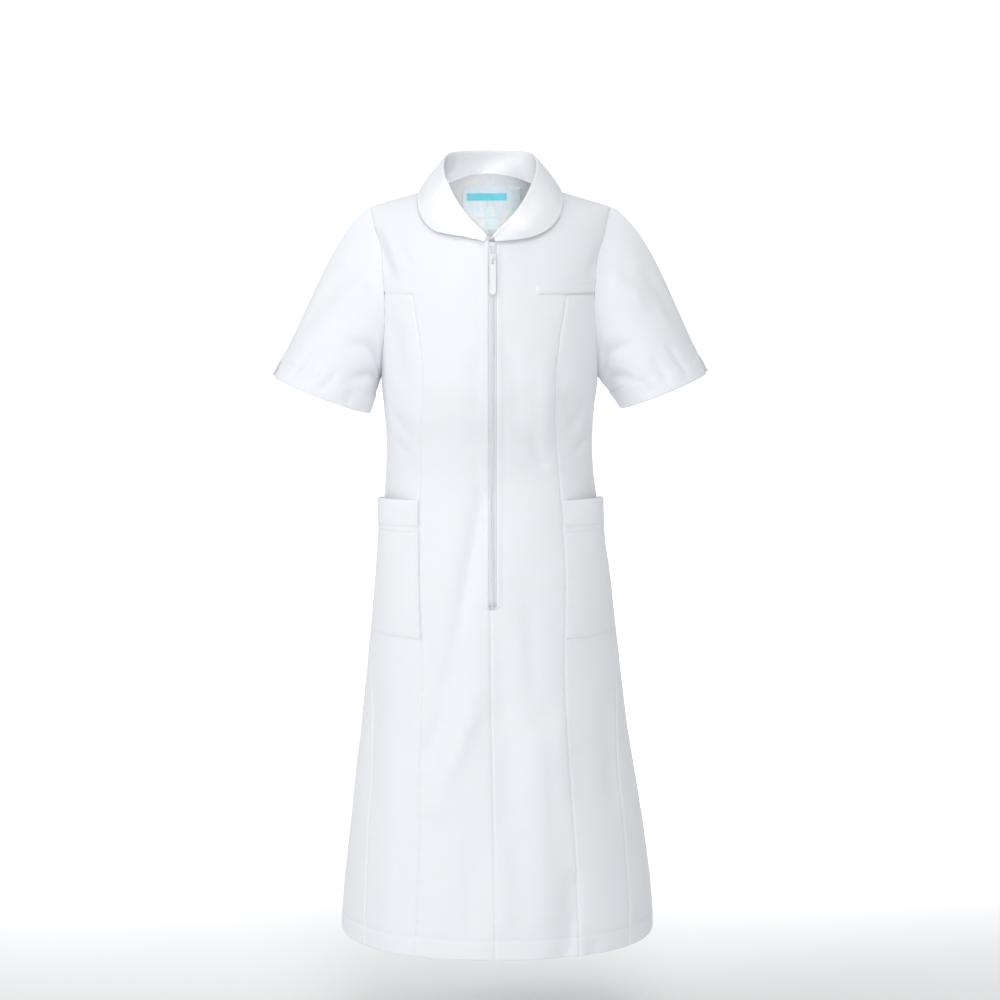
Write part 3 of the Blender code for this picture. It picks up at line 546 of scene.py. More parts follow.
def cloth_shell(name, grids, thickness, finish):
    """Closed thin shell from one or more grids of (points, outward directions) sharing edges."""
    vertices, index_of, faces = [], {}, []
    rims = {}
    for points, normals in grids:
        rows, columns = points.shape[:2]
        index = np.empty((rows, columns), int)
        for row in range(rows):
            for column in range(columns):
                point = points[row, column]
                key = (round(point[0] * 1e6), round(point[1] * 1e6), round(point[2] * 1e6))
                if key not in index_of:
                    index_of[key] = len(vertices)
                    vertices.append(point)
                    vertices.append(point - normals[row, column] * thickness)
                index[row, column] = index_of[key]
        for row in range(rows - 1):
            for column in range(columns - 1):
                loop = [index[row, column], index[row, column + 1],
                        index[row + 1, column + 1], index[row + 1, column]]
                corners = [corner for place, corner in enumerate(loop)
                           if corner != loop[place - 1]]
                if len(corners) < 3:
                    continue
                faces.append(corners)
                faces.append([corner + 1 for corner in reversed(corners)])
                for start, end in zip(corners, corners[1:] + corners[:1]):
                    if (end, start) in rims:
                        del rims[(end, start)]
                    else:
                        rims[(start, end)] = True
    faces += [[end, start, start + 1, end + 1] for start, end in rims]
    return mesh_object(name, vertices, faces, finish)


def read_along(where, lengths, values):
    """Points or directions of a path, known at some lengths along it, at other lengths."""
    return np.stack([np.interp(where, lengths, values[:, axis]) for axis in range(3)], axis=-1)


def add_ring(vertices, centre, across, up, corners):
    """Append an oval ring of vertices round a centre, and give their numbers."""
    first = len(vertices)
    for corner in range(corners):
        angle = 2 * math.pi * corner / corners
        vertices.append(centre + across * math.cos(angle) + up * math.sin(angle))
    return list(range(first, first + corners))


def ring_faces(rings):
    """Faces of a closed tube through rings of vertex numbers."""
    faces = []
    for lower, upper in zip(rings, rings[1:]):
        for corner in range(len(lower)):
            after = (corner + 1) % len(lower)
            faces.append([lower[corner], lower[after], upper[after], upper[corner]])
    return faces + [rings[0][::-1], rings[-1]]


def stitch_row(vertices, points, normals, length, gap, radius):
    """Append the vertices of a row of thread stitches that dip into the cloth; give its faces."""
    travelled = np.concatenate([[0.0], np.cumsum(np.linalg.norm(np.diff(points, axis=0), axis=1))])
    faces = []
    place = 0.0
    while place + length < travelled[-1]:
        rings = []
        for share in STITCH_RINGS:
            here = place + length * share
            ahead, behind = (read_along(here + step, travelled, points)
                             for step in (STITCH_LOOK, -STITCH_LOOK))
            normal = unit(read_along(here, travelled, normals))
            sideways = unit(np.cross(normal, ahead - behind))
            arch = math.sin(math.pi * share)
            centre = read_along(here, travelled, points) + normal * radius * (1.1 * arch - 0.55)
            size = radius * (0.55 + 0.45 * arch)
            rings.append(add_ring(vertices, centre, sideways * size, normal * size * 0.8,
                                  STITCH_SIDES))
        faces += ring_faces(rings)
        place += length + gap
    return faces


def stitches(name, rows, finish, length, gap, radius):
    """One object of several rows of stitches, each a path of (points, normals)."""
    vertices, faces = [], []
    for points, normals in rows:
        faces += stitch_row(vertices, points, normals, length, gap, radius)
    return mesh_object(name, vertices, faces, finish)


# --- panels ----------------------------------------------------------------
HEM_DEPTH = 0.0250        # hem fold of the skirt
HEM_ROUND = 0.0009        # rounding at the fold of a hem
HEM_GROOVE = (0.0009, 0.0016)   # depth and reach of the groove along its stitching
HEM_PLUMP = 0.00045       # how much the doubled cloth of a hem stands out
ZIP_FOOT = 0.0040         # height over which the fronts part for the zip
ZIP_WELT = 0.0088         # folded front edge on the wearer's right, to its stitching
ZIP_WELT_PROUD = 0.0008
ZIP_FACING = 0.0062       # the same on the wearer's left
ZIP_FACING_PROUD = 0.0006
DART_X = 0.066            # back darts: place, ends and depth of the groove
DART_TOP_Z = -0.262
DART_BOTTOM_Z = -0.468
DART_DIP = 0.0011
DART_SHARE = 0.42         # its share of the way from centre back to side seam
BACK_YOKE_ROWS = 62       # rows from the underarm to the back neck
SIDES = (1, -1)


def side_word(side):
    """The wearer's side in a piece's name."""
    return "left" if side > 0 else "right"


def hem_relief(distance, depth=HEM_DEPTH, plump=HEM_PLUMP):
    """Push of a turned-up hem: rounded at its fold, a little proud, with its stitching sunk."""
    rounded = -HEM_ROUND * np.exp(-(distance / HEM_ROUND) ** 2)
    return (rounded + plump * plateau(distance, -1.0, depth, 0.003)
            + stitch_groove(distance, depth, *HEM_GROOVE))


def centre_edge(side, heights, level):
    """Distance of a front's centre edge from the middle, beside the zip or at the seam below."""
    middle = np.where(level > 0.0, SECTIONS[0][1] * np.cos(level * np.pi / 2),
                      from_table(SECTIONS, 1, UNDERARM_Z + np.minimum(level, 0.0)))
    beside_zip = side * ((ZIP_EDGE_LEFT_X if side > 0 else ZIP_EDGE_RIGHT_X) - middle)
    part = smooth_step((heights - (ZIP_END_Z - ZIP_FOOT)) / ZIP_FOOT)
    return mix(CENTRE_SEAM_X * side, beside_zip, part)


def centre_relief(side, distance, heights):
    """Push of a front beside its centre edge: a folded zip edge above, a plain seam below."""
    width, proud = (ZIP_FACING, ZIP_FACING_PROUD) if side > 0 else (ZIP_WELT, ZIP_WELT_PROUD)
    rounded = -proud * np.exp(-(distance / 0.0008) ** 2)
    folded = (proud * plateau(distance, -1.0, width, 0.0016) + rounded
              + stitch_groove(distance, width, 0.0007, 0.0010))
    part = smooth_step((heights - (ZIP_END_Z - ZIP_FOOT)) / ZIP_FOOT)
    return mix(seam_relief(distance, heights), folded, part)


def skirt_rows(top):
    """Heights of a panel's rows from the hem to its top seam, close together where it is sewn."""
    foot = ZIP_END_Z - ZIP_FOOT
    low = HEM_Z + np.array(EDGE_OFFSETS)
    stitch = HEM_Z + HEM_DEPTH + np.array((-0.003, -0.0015, 0.0, 0.0015, 0.003))
    below = heights_between(low[-1], stitch[0])[1:-1]
    above = heights_between(stitch[-1], foot - 0.001)[1:-1]
    around_foot = np.linspace(foot - 0.001, ZIP_END_Z + 0.001, 7)
    high = top - np.array(EDGE_OFFSETS)[::-1]
    rest = heights_between(around_foot[-1], high[0])[1:-1]
    return np.concatenate([low, below, stitch, above, around_foot, rest, high])


def front_centre_strip(side):
    """Centre front from the hem up to the chest seam."""
    heights = skirt_rows(CHEST_SEAM_Z)[:, None]
    shares = spaced(0.095, SHELL_SPREAD)[None, :]
    seam = seam_turn(PRINCESS_SEAM, heights)
    level = level_at(seam * shares, heights)
    for _ in range(6):
        distance = mix(centre_edge(side, heights, level), share_across(seam) * width_at(level),
                       shares)
        turn = turn_at(distance, level)
        level = level_at(turn, heights)
    points, normals = body_frame(np.where(distance < 0.0, -side, side), turn, level)
    across = arc_lengths(points, 1)
    from_seam = across[:, -1:] - across
    heights = np.broadcast_to(heights, across.shape)
    relief = (centre_relief(side, across, heights) + seam_relief(from_seam, heights)
              + hem_relief(heights - HEM_Z))
    return points + normals * relief[..., None], normals


def front_yoke(side, strip):
    """Upper centre front, from the chest seam to the armhole, neck and shoulder seam."""
    neck_level = float(neck_edge(0.0)[1])
    chest = float(level_at(0.0, CHEST_SEAM_Z))
    start = (neck_level - chest) / (1.0 - chest)
    low = spaced(NECK_V_Z - CHEST_SEAM_Z, SHELL_STEP, EDGE_OFFSETS, (0.0,))
    along_neck = spaced(0.118, SHELL_STEP, (0.0,), EDGE_OFFSETS)
    turns, levels = neck_edge(along_neck)
    chests = level_at(turns, CHEST_SEAM_Z)
    ways = np.concatenate([low[:-1] * start, (levels - chests) / (1.0 - chests)])[:, None]
    neck_shares = np.concatenate([np.zeros(len(low) - 1), along_neck])[:, None]
    seam = float(seam_turn(PRINCESS_SEAM, CHEST_SEAM_Z))
    seam_level = level_at(seam / 2, CHEST_SEAM_Z)
    zip_share = float(centre_edge(side, 0.0, seam_level) / width_at(seam_level))
    seam_share = ((float(share_across(seam)) - zip_share)
                  / (float(share_across(armhole_turn(yoke_armhole_level(0.0)))) - zip_share))
    inner = spaced(0.095, SHELL_SPREAD) * seam_share
    outer = seam_share + spaced(0.050, SHELL_SPREAD)[1:] * (1.0 - seam_share)
    shares = np.concatenate([inner, outer])[None, :]
    neck = share_across(neck_edge(neck_shares)[0])
    armhole = share_across(armhole_turn(yoke_armhole_level(ways)))
    level = np.broadcast_to(ways, (ways.shape[0], shares.shape[1]))
    turn = level
    for _ in range(10):
        nearest = np.maximum(neck, centre_edge(side, 0.0, level) / width_at(level))
        turn = turn_across(mix(nearest, armhole, shares))
        level = yoke_level(turn, ways)
    points, normals = body_frame(side, turn, level)
    across, upward = arc_lengths(points, 1), arc_lengths(points, 0)
    seam_column = len(inner) - 1
    before_seam = np.maximum(across[:, seam_column:seam_column + 1] - across, 0.0)
    from_chest = np.hypot(upward, before_seam)
    from_shoulder = upward[-1:, :] - upward
    from_armhole = across[:, -1:] - across
    beside_zip = 1.0 - smooth_step((ways - start) / 0.10)
    relief = (seam_relief(from_chest, points[..., 0]) + seam_relief(from_shoulder, points[..., 0])
              + seam_relief(from_armhole, points[..., 2])
              + centre_relief(side, across, points[..., 2]) * beside_zip)
    points = points + normals * relief[..., None]
    points[0, :len(inner)] = strip[0][-1]
    normals[0, :len(inner)] = strip[1][-1]
    return points, normals


def sided_shell(kind, side, finish, *grids):
    """Shell of a cloth piece that the dress has on both sides."""
    return cloth_shell(kind + "_" + side_word(side) + "_cloth", grids, WALL, finish)


def front_centre(side, finish):
    """Centre front with its yoke part, in one shell."""
    strip = front_centre_strip(side)
    return sided_shell("front_centre", side, finish, strip, front_yoke(side, strip))


def side_grid(side):
    """Side front, from princess seam to side seam and armhole, up to the chest seam."""
    heights = skirt_rows(CHEST_SEAM_Z)[:, None]
    shares = spaced(0.085, SHELL_SPREAD)[None, :]
    inner = seam_turn(PRINCESS_SEAM, heights)
    outer = np.where(heights <= UNDERARM_Z, seam_turn(SIDE_SEAM, heights),
                     armhole_turn(armhole_level_at(heights)))
    turn = mix(inner, outer, shares)
    level = level_at(turn, heights)
    points, normals = body_frame(side, turn, level)
    across = arc_lengths(points, 1)
    heights = np.broadcast_to(heights, across.shape)
    relief = (seam_relief(across, heights) + seam_relief(across[:, -1:] - across, heights)
              + seam_relief(CHEST_SEAM_Z - heights, points[..., 0]) + hem_relief(heights - HEM_Z))
    return points + normals * relief[..., None], normals


def dart_relief(points, side):
    """Push of a back dart: a seam that fades out at both points."""
    height = points[..., 2]
    way = (height - DART_BOTTOM_Z) / (DART_TOP_Z - DART_BOTTOM_Z)
    lean = 0.010 * np.abs(way - 0.5)
    gap = np.abs(points[..., 0] * side - DART_X + lean)
    groove = -DART_DIP * np.exp(-(gap / 0.0022) ** 2)
    hollow = -0.0016 * np.exp(-(gap / 0.016) ** 2)
    return (groove + hollow) * fade_at_ends(way, 0.25)


def back_grid(side):
    """Half of the back, from the centre-back seam to side seam, neck and armhole."""
    neck_level = float(neck_edge(0.0, back=True)[1])
    below = skirt_rows(UNDERARM_Z) - UNDERARM_Z
    underarm_to_neck = np.linspace(0.0, neck_level, BACK_YOKE_ROWS)[1:-1]
    along_neck = spaced(0.076, 0.0030, (0.0,), EDGE_OFFSETS)
    levels = np.concatenate([below, underarm_to_neck,
                             neck_edge(along_neck, back=True)[1]])[:, None]
    side_rows = len(below) + len(underarm_to_neck)
    neck_shares = np.concatenate([np.zeros(side_rows), along_neck])[:, None]
    border = np.where(levels <= 0.0, seam_turn(SIDE_SEAM, UNDERARM_Z + levels),
                      armhole_turn(levels, back=True))
    around_dart = DART_SHARE + np.array((-0.030, -0.020, -0.012, -0.006, 0.0, 0.006, 0.012,
                                         0.020, 0.030))
    shares = np.unique(np.concatenate([spaced(0.175, SHELL_SPREAD), around_dart]))[None, :]
    turn = mix(neck_edge(neck_shares, back=True)[0], border, shares)
    levels = np.broadcast_to(levels, turn.shape)
    points, normals = body_frame(side, turn, levels)
    across, upward = arc_lengths(points, 1), arc_lengths(points, 0)
    in_seam = (neck_shares == 0.0)
    relief = (seam_relief(across[:, -1:] - across, points[..., 2])
              + seam_relief(across, points[..., 2]) * in_seam
              + seam_relief(upward[-1:, :] - upward, points[..., 0])
              + hem_relief(points[..., 2] - HEM_Z) + dart_relief(points, side))
    return points + normals * relief[..., None], normals


# --- sleeves ---------------------------------------------------------------
# The cuff is an oval about square to the sleeve's axis. Fullness says how far the cap stands out.
SLEEVES = {
    # side: cuff's outer end, cuff's inner end, fullness
    1: ((0.2885, 0.004, -0.2440), (0.1720, -0.004, -0.2915), 0.77),
    -1: ((0.2890, 0.004, -0.2490), (0.1600, -0.004, -0.2980), 0.62),
}
CUFF_HALF_DEPTH = 0.066
CUFF_AXIS_OUTER = (0.52, 0.0, -0.84)
CUFF_AXIS_INNER = (0.34, 0.0, -0.78)
VENT_LENGTH = 0.027
VENT_OPENING = 0.006
VENT_STEP = 0.0155        # how far the front edge of the vent lies inside the back edge
SLEEVE_COLUMNS = 132
SLEEVE_HEM = 0.0270
SLEEVE_RADIUS = 0.062     # turns an angle round the sleeve into a length
SLEEVE_STEP = 0.01        # share of the way for the direction along the sleeve
SLEEVE_HEM_PLUMP = 0.0012
UNDERARM_SEAM_DIP = 0.0006
VENT_SPREAD = 0.22        # angle over which the cloth beside the vent gives way, in radians
EASE_HEIGHT = 0.0003
EASE_PLACE = 0.006        # where the eased fullness is greatest, below the armhole seam
SLEEVE_CREASE_STRENGTH = 1.8
EASE_WAVE = 0.0115        # fullness eased into the armhole

# Creases of a sleeve: angle round it in degrees (0 top, 90 front, 180 underarm, 270 back) and
# share of the way from armhole to hem, at three points; reach and depth in millimetres.
SLEEVE_CREASES = [
    # side, a1, w1, a2, w2, a3, w3, reach, depth
    (-1, 160, 0.10, 118, 0.34, 80, 0.62, 9, 3),
    (-1, 168, 0.24, 136, 0.50, 108, 0.80, 8, 2.6),
    (-1, 64, 0.10, 58, 0.34, 50, 0.58, 12, -2),
    (-1, 96, 0.70, 92, 0.84, 90, 0.97, 5.5, 1.6),
    (-1, 72, 0.68, 70, 0.84, 70, 0.98, 5, 1.4),
    (-1, 54, 0.72, 52, 0.86, 52, 0.98, 5, 1.3),
    (-1, 120, 0.74, 122, 0.88, 124, 0.98, 6, 1.6),
    (-1, 30, 0.30, 28, 0.55, 24, 0.80, 12, 1.4),
    (1, 158, 0.10, 120, 0.34, 86, 0.60, 9, 2.8),
    (1, 166, 0.26, 138, 0.52, 112, 0.80, 8, 2.4),
    (1, 66, 0.08, 58, 0.30, 48, 0.52, 12, -2.2),
    (1, 84, 0.66, 82, 0.82, 82, 0.97, 5.5, 1.4),
    (1, 58, 0.68, 56, 0.84, 56, 0.98, 5.5, 1.3),
    (1, 108, 0.72, 110, 0.86, 110, 0.98, 6, 1.4),
    (1, 28, 0.28, 26, 0.52, 22, 0.78, 12, 1.4),
    (-1, 200, 0.12, 240, 0.34, 276, 0.60, 9.5, 2.8),
    (-1, 206, 0.46, 236, 0.66, 262, 0.90, 8, 1.8),
    (-1, 300, 0.20, 304, 0.48, 308, 0.78, 12, 1.4),
    (1, 200, 0.12, 238, 0.34, 272, 0.58, 9.5, 2.8),
    (1, 208, 0.48, 238, 0.68, 266, 0.90, 8, 1.8),
    (1, 300, 0.20, 304, 0.48, 306, 0.76, 12, 1.4),
]


def armhole_loop(side, count):
    """Even points of the armhole from the shoulder tip round the front, with directions."""
    points, normals, angles = [], [], []
    for back in (False, True):
        levels = np.linspace(0.0, 1.0, 240)
        place, outward = body_frame(side, armhole_turn(levels, back), levels)
        length = arc_lengths(place[:, None], 0)[:, 0]
        shares = np.linspace(0.0, 1.0, count // 2 + 1)
        wanted = shares * length[-1]
        even = read_along(wanted, length, place)
        facing = read_along(wanted, length, outward)
        if back:
            points.append(even[1:-1])
            normals.append(facing[1:-1])
            angles.append(np.pi * (1.0 + shares[1:-1]))
        else:
            points.append(even[::-1])
            normals.append(facing[::-1])
            angles.append(np.pi * (1.0 - shares[::-1]))
    return np.concatenate(points), unit(np.concatenate(normals)), np.concatenate(angles)


def sleeve_surface(side, start, angle, way):
    """Points of a sleeve's smooth surface."""
    outer, inner, fullness = SLEEVES[side]
    outer, inner = np.array(outer), np.array(inner)
    turned = np.cos(angle)[..., None]
    end = mix(outer, inner, (1.0 - turned) / 2)
    end = end - np.stack([np.zeros_like(angle), CUFF_HALF_DEPTH * np.sin(angle),
                          np.zeros_like(angle)], axis=-1)
    leave = unit(np.stack([0.70 + 0.25 * np.cos(angle), -0.30 * np.sin(angle),
                           -0.73 + 0.21 * np.cos(angle)], axis=-1))
    arrive = mix(np.array(CUFF_AXIS_OUTER), np.array(CUFF_AXIS_INNER), (1.0 - turned) / 2)
    mirror = np.array((side, 1.0, 1.0))
    begin = start * mirror
    chord = np.linalg.norm(end - begin, axis=-1, keepdims=True)
    points = spline(begin, leave * chord * fullness, end, arrive * chord, way[..., None])
    return points * mirror


def sleeve_push(side, angle, way, length):
    """How far the creases of a sleeve push it out."""
    places = np.stack([angle * SLEEVE_RADIUS, way * length], axis=-1)
    push = np.zeros(angle.shape)
    for of_side, a1, w1, a2, w2, a3, w3, reach, depth in SLEEVE_CREASES:
        if of_side != side:
            continue
        path = crease_path(*((math.radians(a) * SLEEVE_RADIUS, w * length)
                             for a, w in ((a1, w1), (a2, w2), (a3, w3))))
        nearest, _, along = distance_to_path(places, path)
        dip = depth / 1000.0 * np.exp(-(nearest / (reach / 1000.0)) ** 2)
        push -= SLEEVE_CREASE_STRENGTH * dip * fade_at_ends(along, CREASE_FADE)
    return push


def sleeve_grid(side):
    """Set-in short sleeve with a short vent at the top of its hem."""
    start, facing, angle = armhole_loop(side, SLEEVE_COLUMNS)
    start = np.concatenate([start, start[:1]])
    facing = np.concatenate([facing, facing[:1]])
    angle = np.concatenate([angle, [2 * np.pi]])
    top = start[0] * np.array((side, 1.0, 1.0))
    length = float(np.linalg.norm(np.array(SLEEVES[side][0]) - top))
    vent_way = 1.0 - VENT_LENGTH / length
    ways = spaced(length, SHELL_STEP)
    ways = np.unique(np.concatenate([ways, [vent_way, 1.0 - (SLEEVE_HEM - 0.001) / length,
                                            1.0 - (SLEEVE_HEM + 0.001) / length]]))
    way, turned = np.meshgrid(ways, angle, indexing="ij")
    begin = np.broadcast_to(start[None], way.shape + (3,))
    points = sleeve_surface(side, begin, turned, way)
    after, before = (sleeve_surface(side, np.roll(begin[:, :-1], step, axis=1),
                                    np.roll(turned[:, :-1], step, axis=1), way[:, :-1])
                     for step in (-1, 1))
    around = after - before
    around = np.concatenate([around, around[:, :1]], axis=1)
    ahead, behind = (sleeve_surface(side, begin, turned, np.clip(way + step, 0.0, 1.0))
                     for step in (SLEEVE_STEP, -SLEEVE_STEP))
    along = ahead - behind
    normals = unit(np.cross(around, along) * side)
    from_seam = arc_lengths(points, 0)
    from_hem = from_seam[-1:] - from_seam
    cap = 0.5 + 0.5 * np.cos(turned)
    ease = (EASE_HEIGHT * cap * np.exp(-((from_seam - EASE_PLACE) / EASE_PLACE) ** 2)
            * np.sin(2 * np.pi * arc_lengths(points, 1) / EASE_WAVE))
    relief = (sleeve_push(side, turned, way, length) * smooth_step(from_seam / 0.012) + ease
              + hem_relief(from_hem, SLEEVE_HEM, SLEEVE_HEM_PLUMP)
              - UNDERARM_SEAM_DIP
              * np.exp(-(np.abs(turned - np.pi) * SLEEVE_RADIUS / SEAM_WIDTH) ** 2))
    points = points + normals * relief[..., None]
    sink = np.exp(-(from_seam / SEAM_DIP_REACH) ** 2)[..., None]
    points = points - facing[None] * SEAM_DIP * sink
    opened = np.clip((way - vent_way) / (1.0 - vent_way), 0.0, 1.0)
    near_vent = opened * np.exp(-(np.minimum(turned, 2 * np.pi - turned) / VENT_SPREAD) ** 2)
    front = turned < np.pi
    points[..., 1] += np.where(front, -VENT_OPENING, VENT_OPENING) * near_vent / 2
    points[..., 0] -= np.where(front, side * VENT_STEP, 0.0) * near_vent
    return points, normals


# --- collar ----------------------------------------------------------------
COLLAR_WALL = 0.0018
COLLAR_ROLL = 0.0036
COLLAR_CLEAR = 0.0036
COLLAR_LIFT = 0.0004
COLLAR_BULGE = 0.0022
COLLAR_PLUMP = 0.0004
COLLAR_RIM = 0.0016       # how far in from its edge the collar is plumpest
RIGHT_LOBE_RISE = 0.0055  # how much higher the right front lobe ends
COLLAR_REFINE_ROUND = 9
COLLAR_REFINE_ACROSS = 5
COLLAR = [
    # face, neck, roll_x, roll_y, roll_z, edge_x, edge_z
    ("front", 0.00, 0.0040, -0.1090, -0.0610, 0.0070, -0.0710),
    ("front", 0.14, 0.0160, -0.1035, -0.0480, 0.0300, -0.0690),
    ("front", 0.30, 0.0290, -0.0950, -0.0340, 0.0520, -0.0660),
    ("front", 0.48, 0.0415, -0.0800, -0.0170, 0.0720, -0.0580),
    ("front", 0.66, 0.0510, -0.0620, 0.0010, 0.0860, -0.0440),
    ("front", 0.84, 0.0578, -0.0400, 0.0170, 0.0925, -0.0260),
    ("front", 1.00, 0.0590, -0.0120, 0.0330, 0.0910, -0.0080),
    ("back", 0.80, 0.0545, 0.0130, 0.0425, 0.0860, -0.0130),
    ("back", 0.50, 0.0430, 0.0310, 0.0460, 0.0700, -0.0170),
    ("back", 0.25, 0.0240, 0.0430, 0.0470, 0.0400, -0.0190),
    ("back", 0.00, 0.0000, 0.0475, 0.0475, 0.0000, -0.0200),
]


def smooth_path(points, refine):
    """Catmull-Rom path through the points, each span cut into refine parts."""
    path = []
    last = len(points) - 1
    for index in range(last):
        before, start = points[max(index - 1, 0)], points[index]
        end, after = points[index + 1], points[min(index + 2, last)]
        for part in range(refine):
            path.append(spline(start, (end - before) / 2, end, (after - start) / 2, part / refine))
    path.append(points[last])
    return path


def collar_profile(row):
    """Points of the collar from its neck seam over the roll to its free edge, on the left."""
    face, neck, roll_x, roll_y, roll_z, edge_x, edge_z = row
    back = face == "back"
    seam, outward = body_frame(1, *neck_edge(neck, back))
    seam = seam - outward * WALL / 2
    roll = np.array((roll_x, roll_y, roll_z))
    seam = seam + unit(roll - seam) * COLLAR_LIFT
    edge_point, edge_normal = body_frame(*place_on_body(edge_x, edge_z, back))
    edge = edge_point + edge_normal * (COLLAR_CLEAR + COLLAR_WALL)
    down = unit(seam - roll)
    away = edge - roll
    away = unit(away - down * (away @ down))
    inner_roll = roll + down * COLLAR_ROLL
    outer_roll = roll + down * COLLAR_ROLL * 0.7 + away * COLLAR_ROLL * 1.5
    fall = [mix(outer_roll, edge, share) + away * COLLAR_BULGE * math.sin(math.pi * share)
            for share in (0.25, 0.50, 0.75)]
    return [seam, mix(seam, inner_roll, 0.55), inner_roll, roll + away * COLLAR_ROLL * 0.5,
            outer_roll] + fall + [edge]


def clear_of_body(points):
    """Points moved off the shoulders where they would come too close to them."""
    surface, normal = body_frame(*place_on_body(points[..., 0], points[..., 2], False))
    rear, rear_normal = body_frame(*place_on_body(points[..., 0], points[..., 2], True))
    behind = (points[..., 1] > 0.0)[..., None]
    surface, normal = np.where(behind, rear, surface), np.where(behind, rear_normal, normal)
    lack = COLLAR_CLEAR + COLLAR_WALL - np.sum((points - surface) * normal, axis=-1)
    low = points[..., 2] <= shoulder_height(np.abs(points[..., 0])) - COLLAR_WALL
    return points + normal * np.where(low, np.maximum(lack, 0.0), 0.0)[..., None]


def collar_grid():
    """Roll collar in one sheet, from the V of the neck round the back and back to the V."""
    half = [collar_profile(row) for row in COLLAR]
    other = [[point * np.array((-1.0, 1.0, 1.0)) for point in profile] for profile in half]
    for profile in other[1:7]:
        for place, share in zip(range(5, 9), (0.25, 0.50, 0.75, 1.0)):
            near = math.exp(-((profile[8][0] + 0.042) / 0.016) ** 2)
            profile[place][2] += RIGHT_LOBE_RISE * share * near
    profiles = half + other[::-1][1:]
    lines = [smooth_path([profile[place] for profile in profiles], COLLAR_REFINE_ROUND)
             for place in range(len(half[0]))]
    sections = [smooth_path(list(section), COLLAR_REFINE_ACROSS) for section in zip(*lines)]
    points = np.array(sections)
    first_fall = 4 * COLLAR_REFINE_ACROSS
    points[:, first_fall:] = clear_of_body(points[:, first_fall:])
    normals = unit(np.cross(np.gradient(points, axis=1), np.gradient(points, axis=0)))
    return points, normals


def collar(finish):
    """Shell of the collar, with a slightly plump sewn edge all round its fall."""
    points, normals = collar_grid()
    across, around = arc_lengths(points, 1), arc_lengths(points, 0)
    from_edge = across[:, -1:] - across
    from_end = np.minimum(around, around[-1:] - around)
    edge = np.minimum(from_edge, from_end + 0.004)
    relief = COLLAR_PLUMP * (np.exp(-((edge - COLLAR_RIM) / COLLAR_RIM) ** 2)
                             - 0.5 * plateau(edge, 0.004, 0.008))
    points = points + normals * relief[..., None]
    return cloth_shell("collar_cloth", [(points, normals)], COLLAR_WALL, finish)


# --- pockets ---------------------------------------------------------------
POCKET_MOUTH_Z = -0.406
POCKET_MOUTH_SIDE_Z = -0.409
POCKET_BOTTOM_Z = -0.583
POCKET_GAPE = 0.0125
POCKET_INSET = 0.0012
POCKET_STITCHES = (0.0350, 0.0425)   # rows of stitching below the mouth
WELT_INNER_X = 0.0600
WELT_OUTER_X = 0.1340
WELT_TOP_Z = -0.1265
WELT_BOTTOM_Z = -0.1370
WELT_PROUD = 0.0008


def pocket_surface(side, across, up):
    """Points and directions of a side pocket at shares across and up."""
    mouth = mix(POCKET_MOUTH_Z, POCKET_MOUTH_SIDE_Z, across)
    height = mix(POCKET_BOTTOM_Z, mouth, up)
    level = height - UNDERARM_Z
    inset = POCKET_INSET / width_at(level)
    turn = mix(seam_turn(PRINCESS_SEAM, height) + inset, seam_turn(SIDE_SEAM, height) - inset,
               across)
    points, normals = body_frame(side, turn, level)
    hump = np.maximum(np.sin(np.pi * across ** 1.7), 0.0) ** 0.8
    gape = POCKET_GAPE * up ** 1.6 * hump
    return points + normals * (SEAM + gape + WALL)[..., None], normals


def pocket_grid(side):
    """Patch pocket sewn at princess seam, side seam and bottom, standing open at its mouth."""
    length = POCKET_MOUTH_Z - POCKET_BOTTOM_Z
    up = spaced(length, 0.0030)
    up = np.unique(np.concatenate([up] + [1.0 - (place + np.array((-0.0012, 0.0, 0.0012))) / length
                                          for place in POCKET_STITCHES]))
    across, up = np.meshgrid(spaced(0.088, 0.0034), up)
    points, normals = pocket_surface(side, across, up)
    sideways, upward = arc_lengths(points, 1), arc_lengths(points, 0)
    below_mouth = upward[-1:] - upward
    edge = np.minimum(np.minimum(sideways, sideways[:, -1:] - sideways), upward)
    relief = (0.0005 * plateau(below_mouth, -1.0, POCKET_STITCHES[0], 0.004)
              - 0.0007 * np.exp(-(np.minimum(edge, below_mouth) / 0.0009) ** 2)
              + stitch_groove(edge, 0.0022, 0.0004, 0.0010))
    for place in POCKET_STITCHES:
        relief += stitch_groove(below_mouth, place, 0.0009, 0.0014)
    wave = np.sin(2 * np.pi * upward / 0.021 + 0.9) * np.exp(-(edge / 0.010) ** 2)
    relief += 0.00028 * wave * smooth_step(below_mouth / 0.05)
    return points + normals * relief[..., None], normals


def strip_on_body(left, right, top, bottom, columns, rows, back=False):
    """Points and directions of a flat strip of the surface."""
    x, height = np.meshgrid(columns * (right - left) + left, rows * (top - bottom) + bottom)
    return body_frame(*place_on_body(x, height, back))


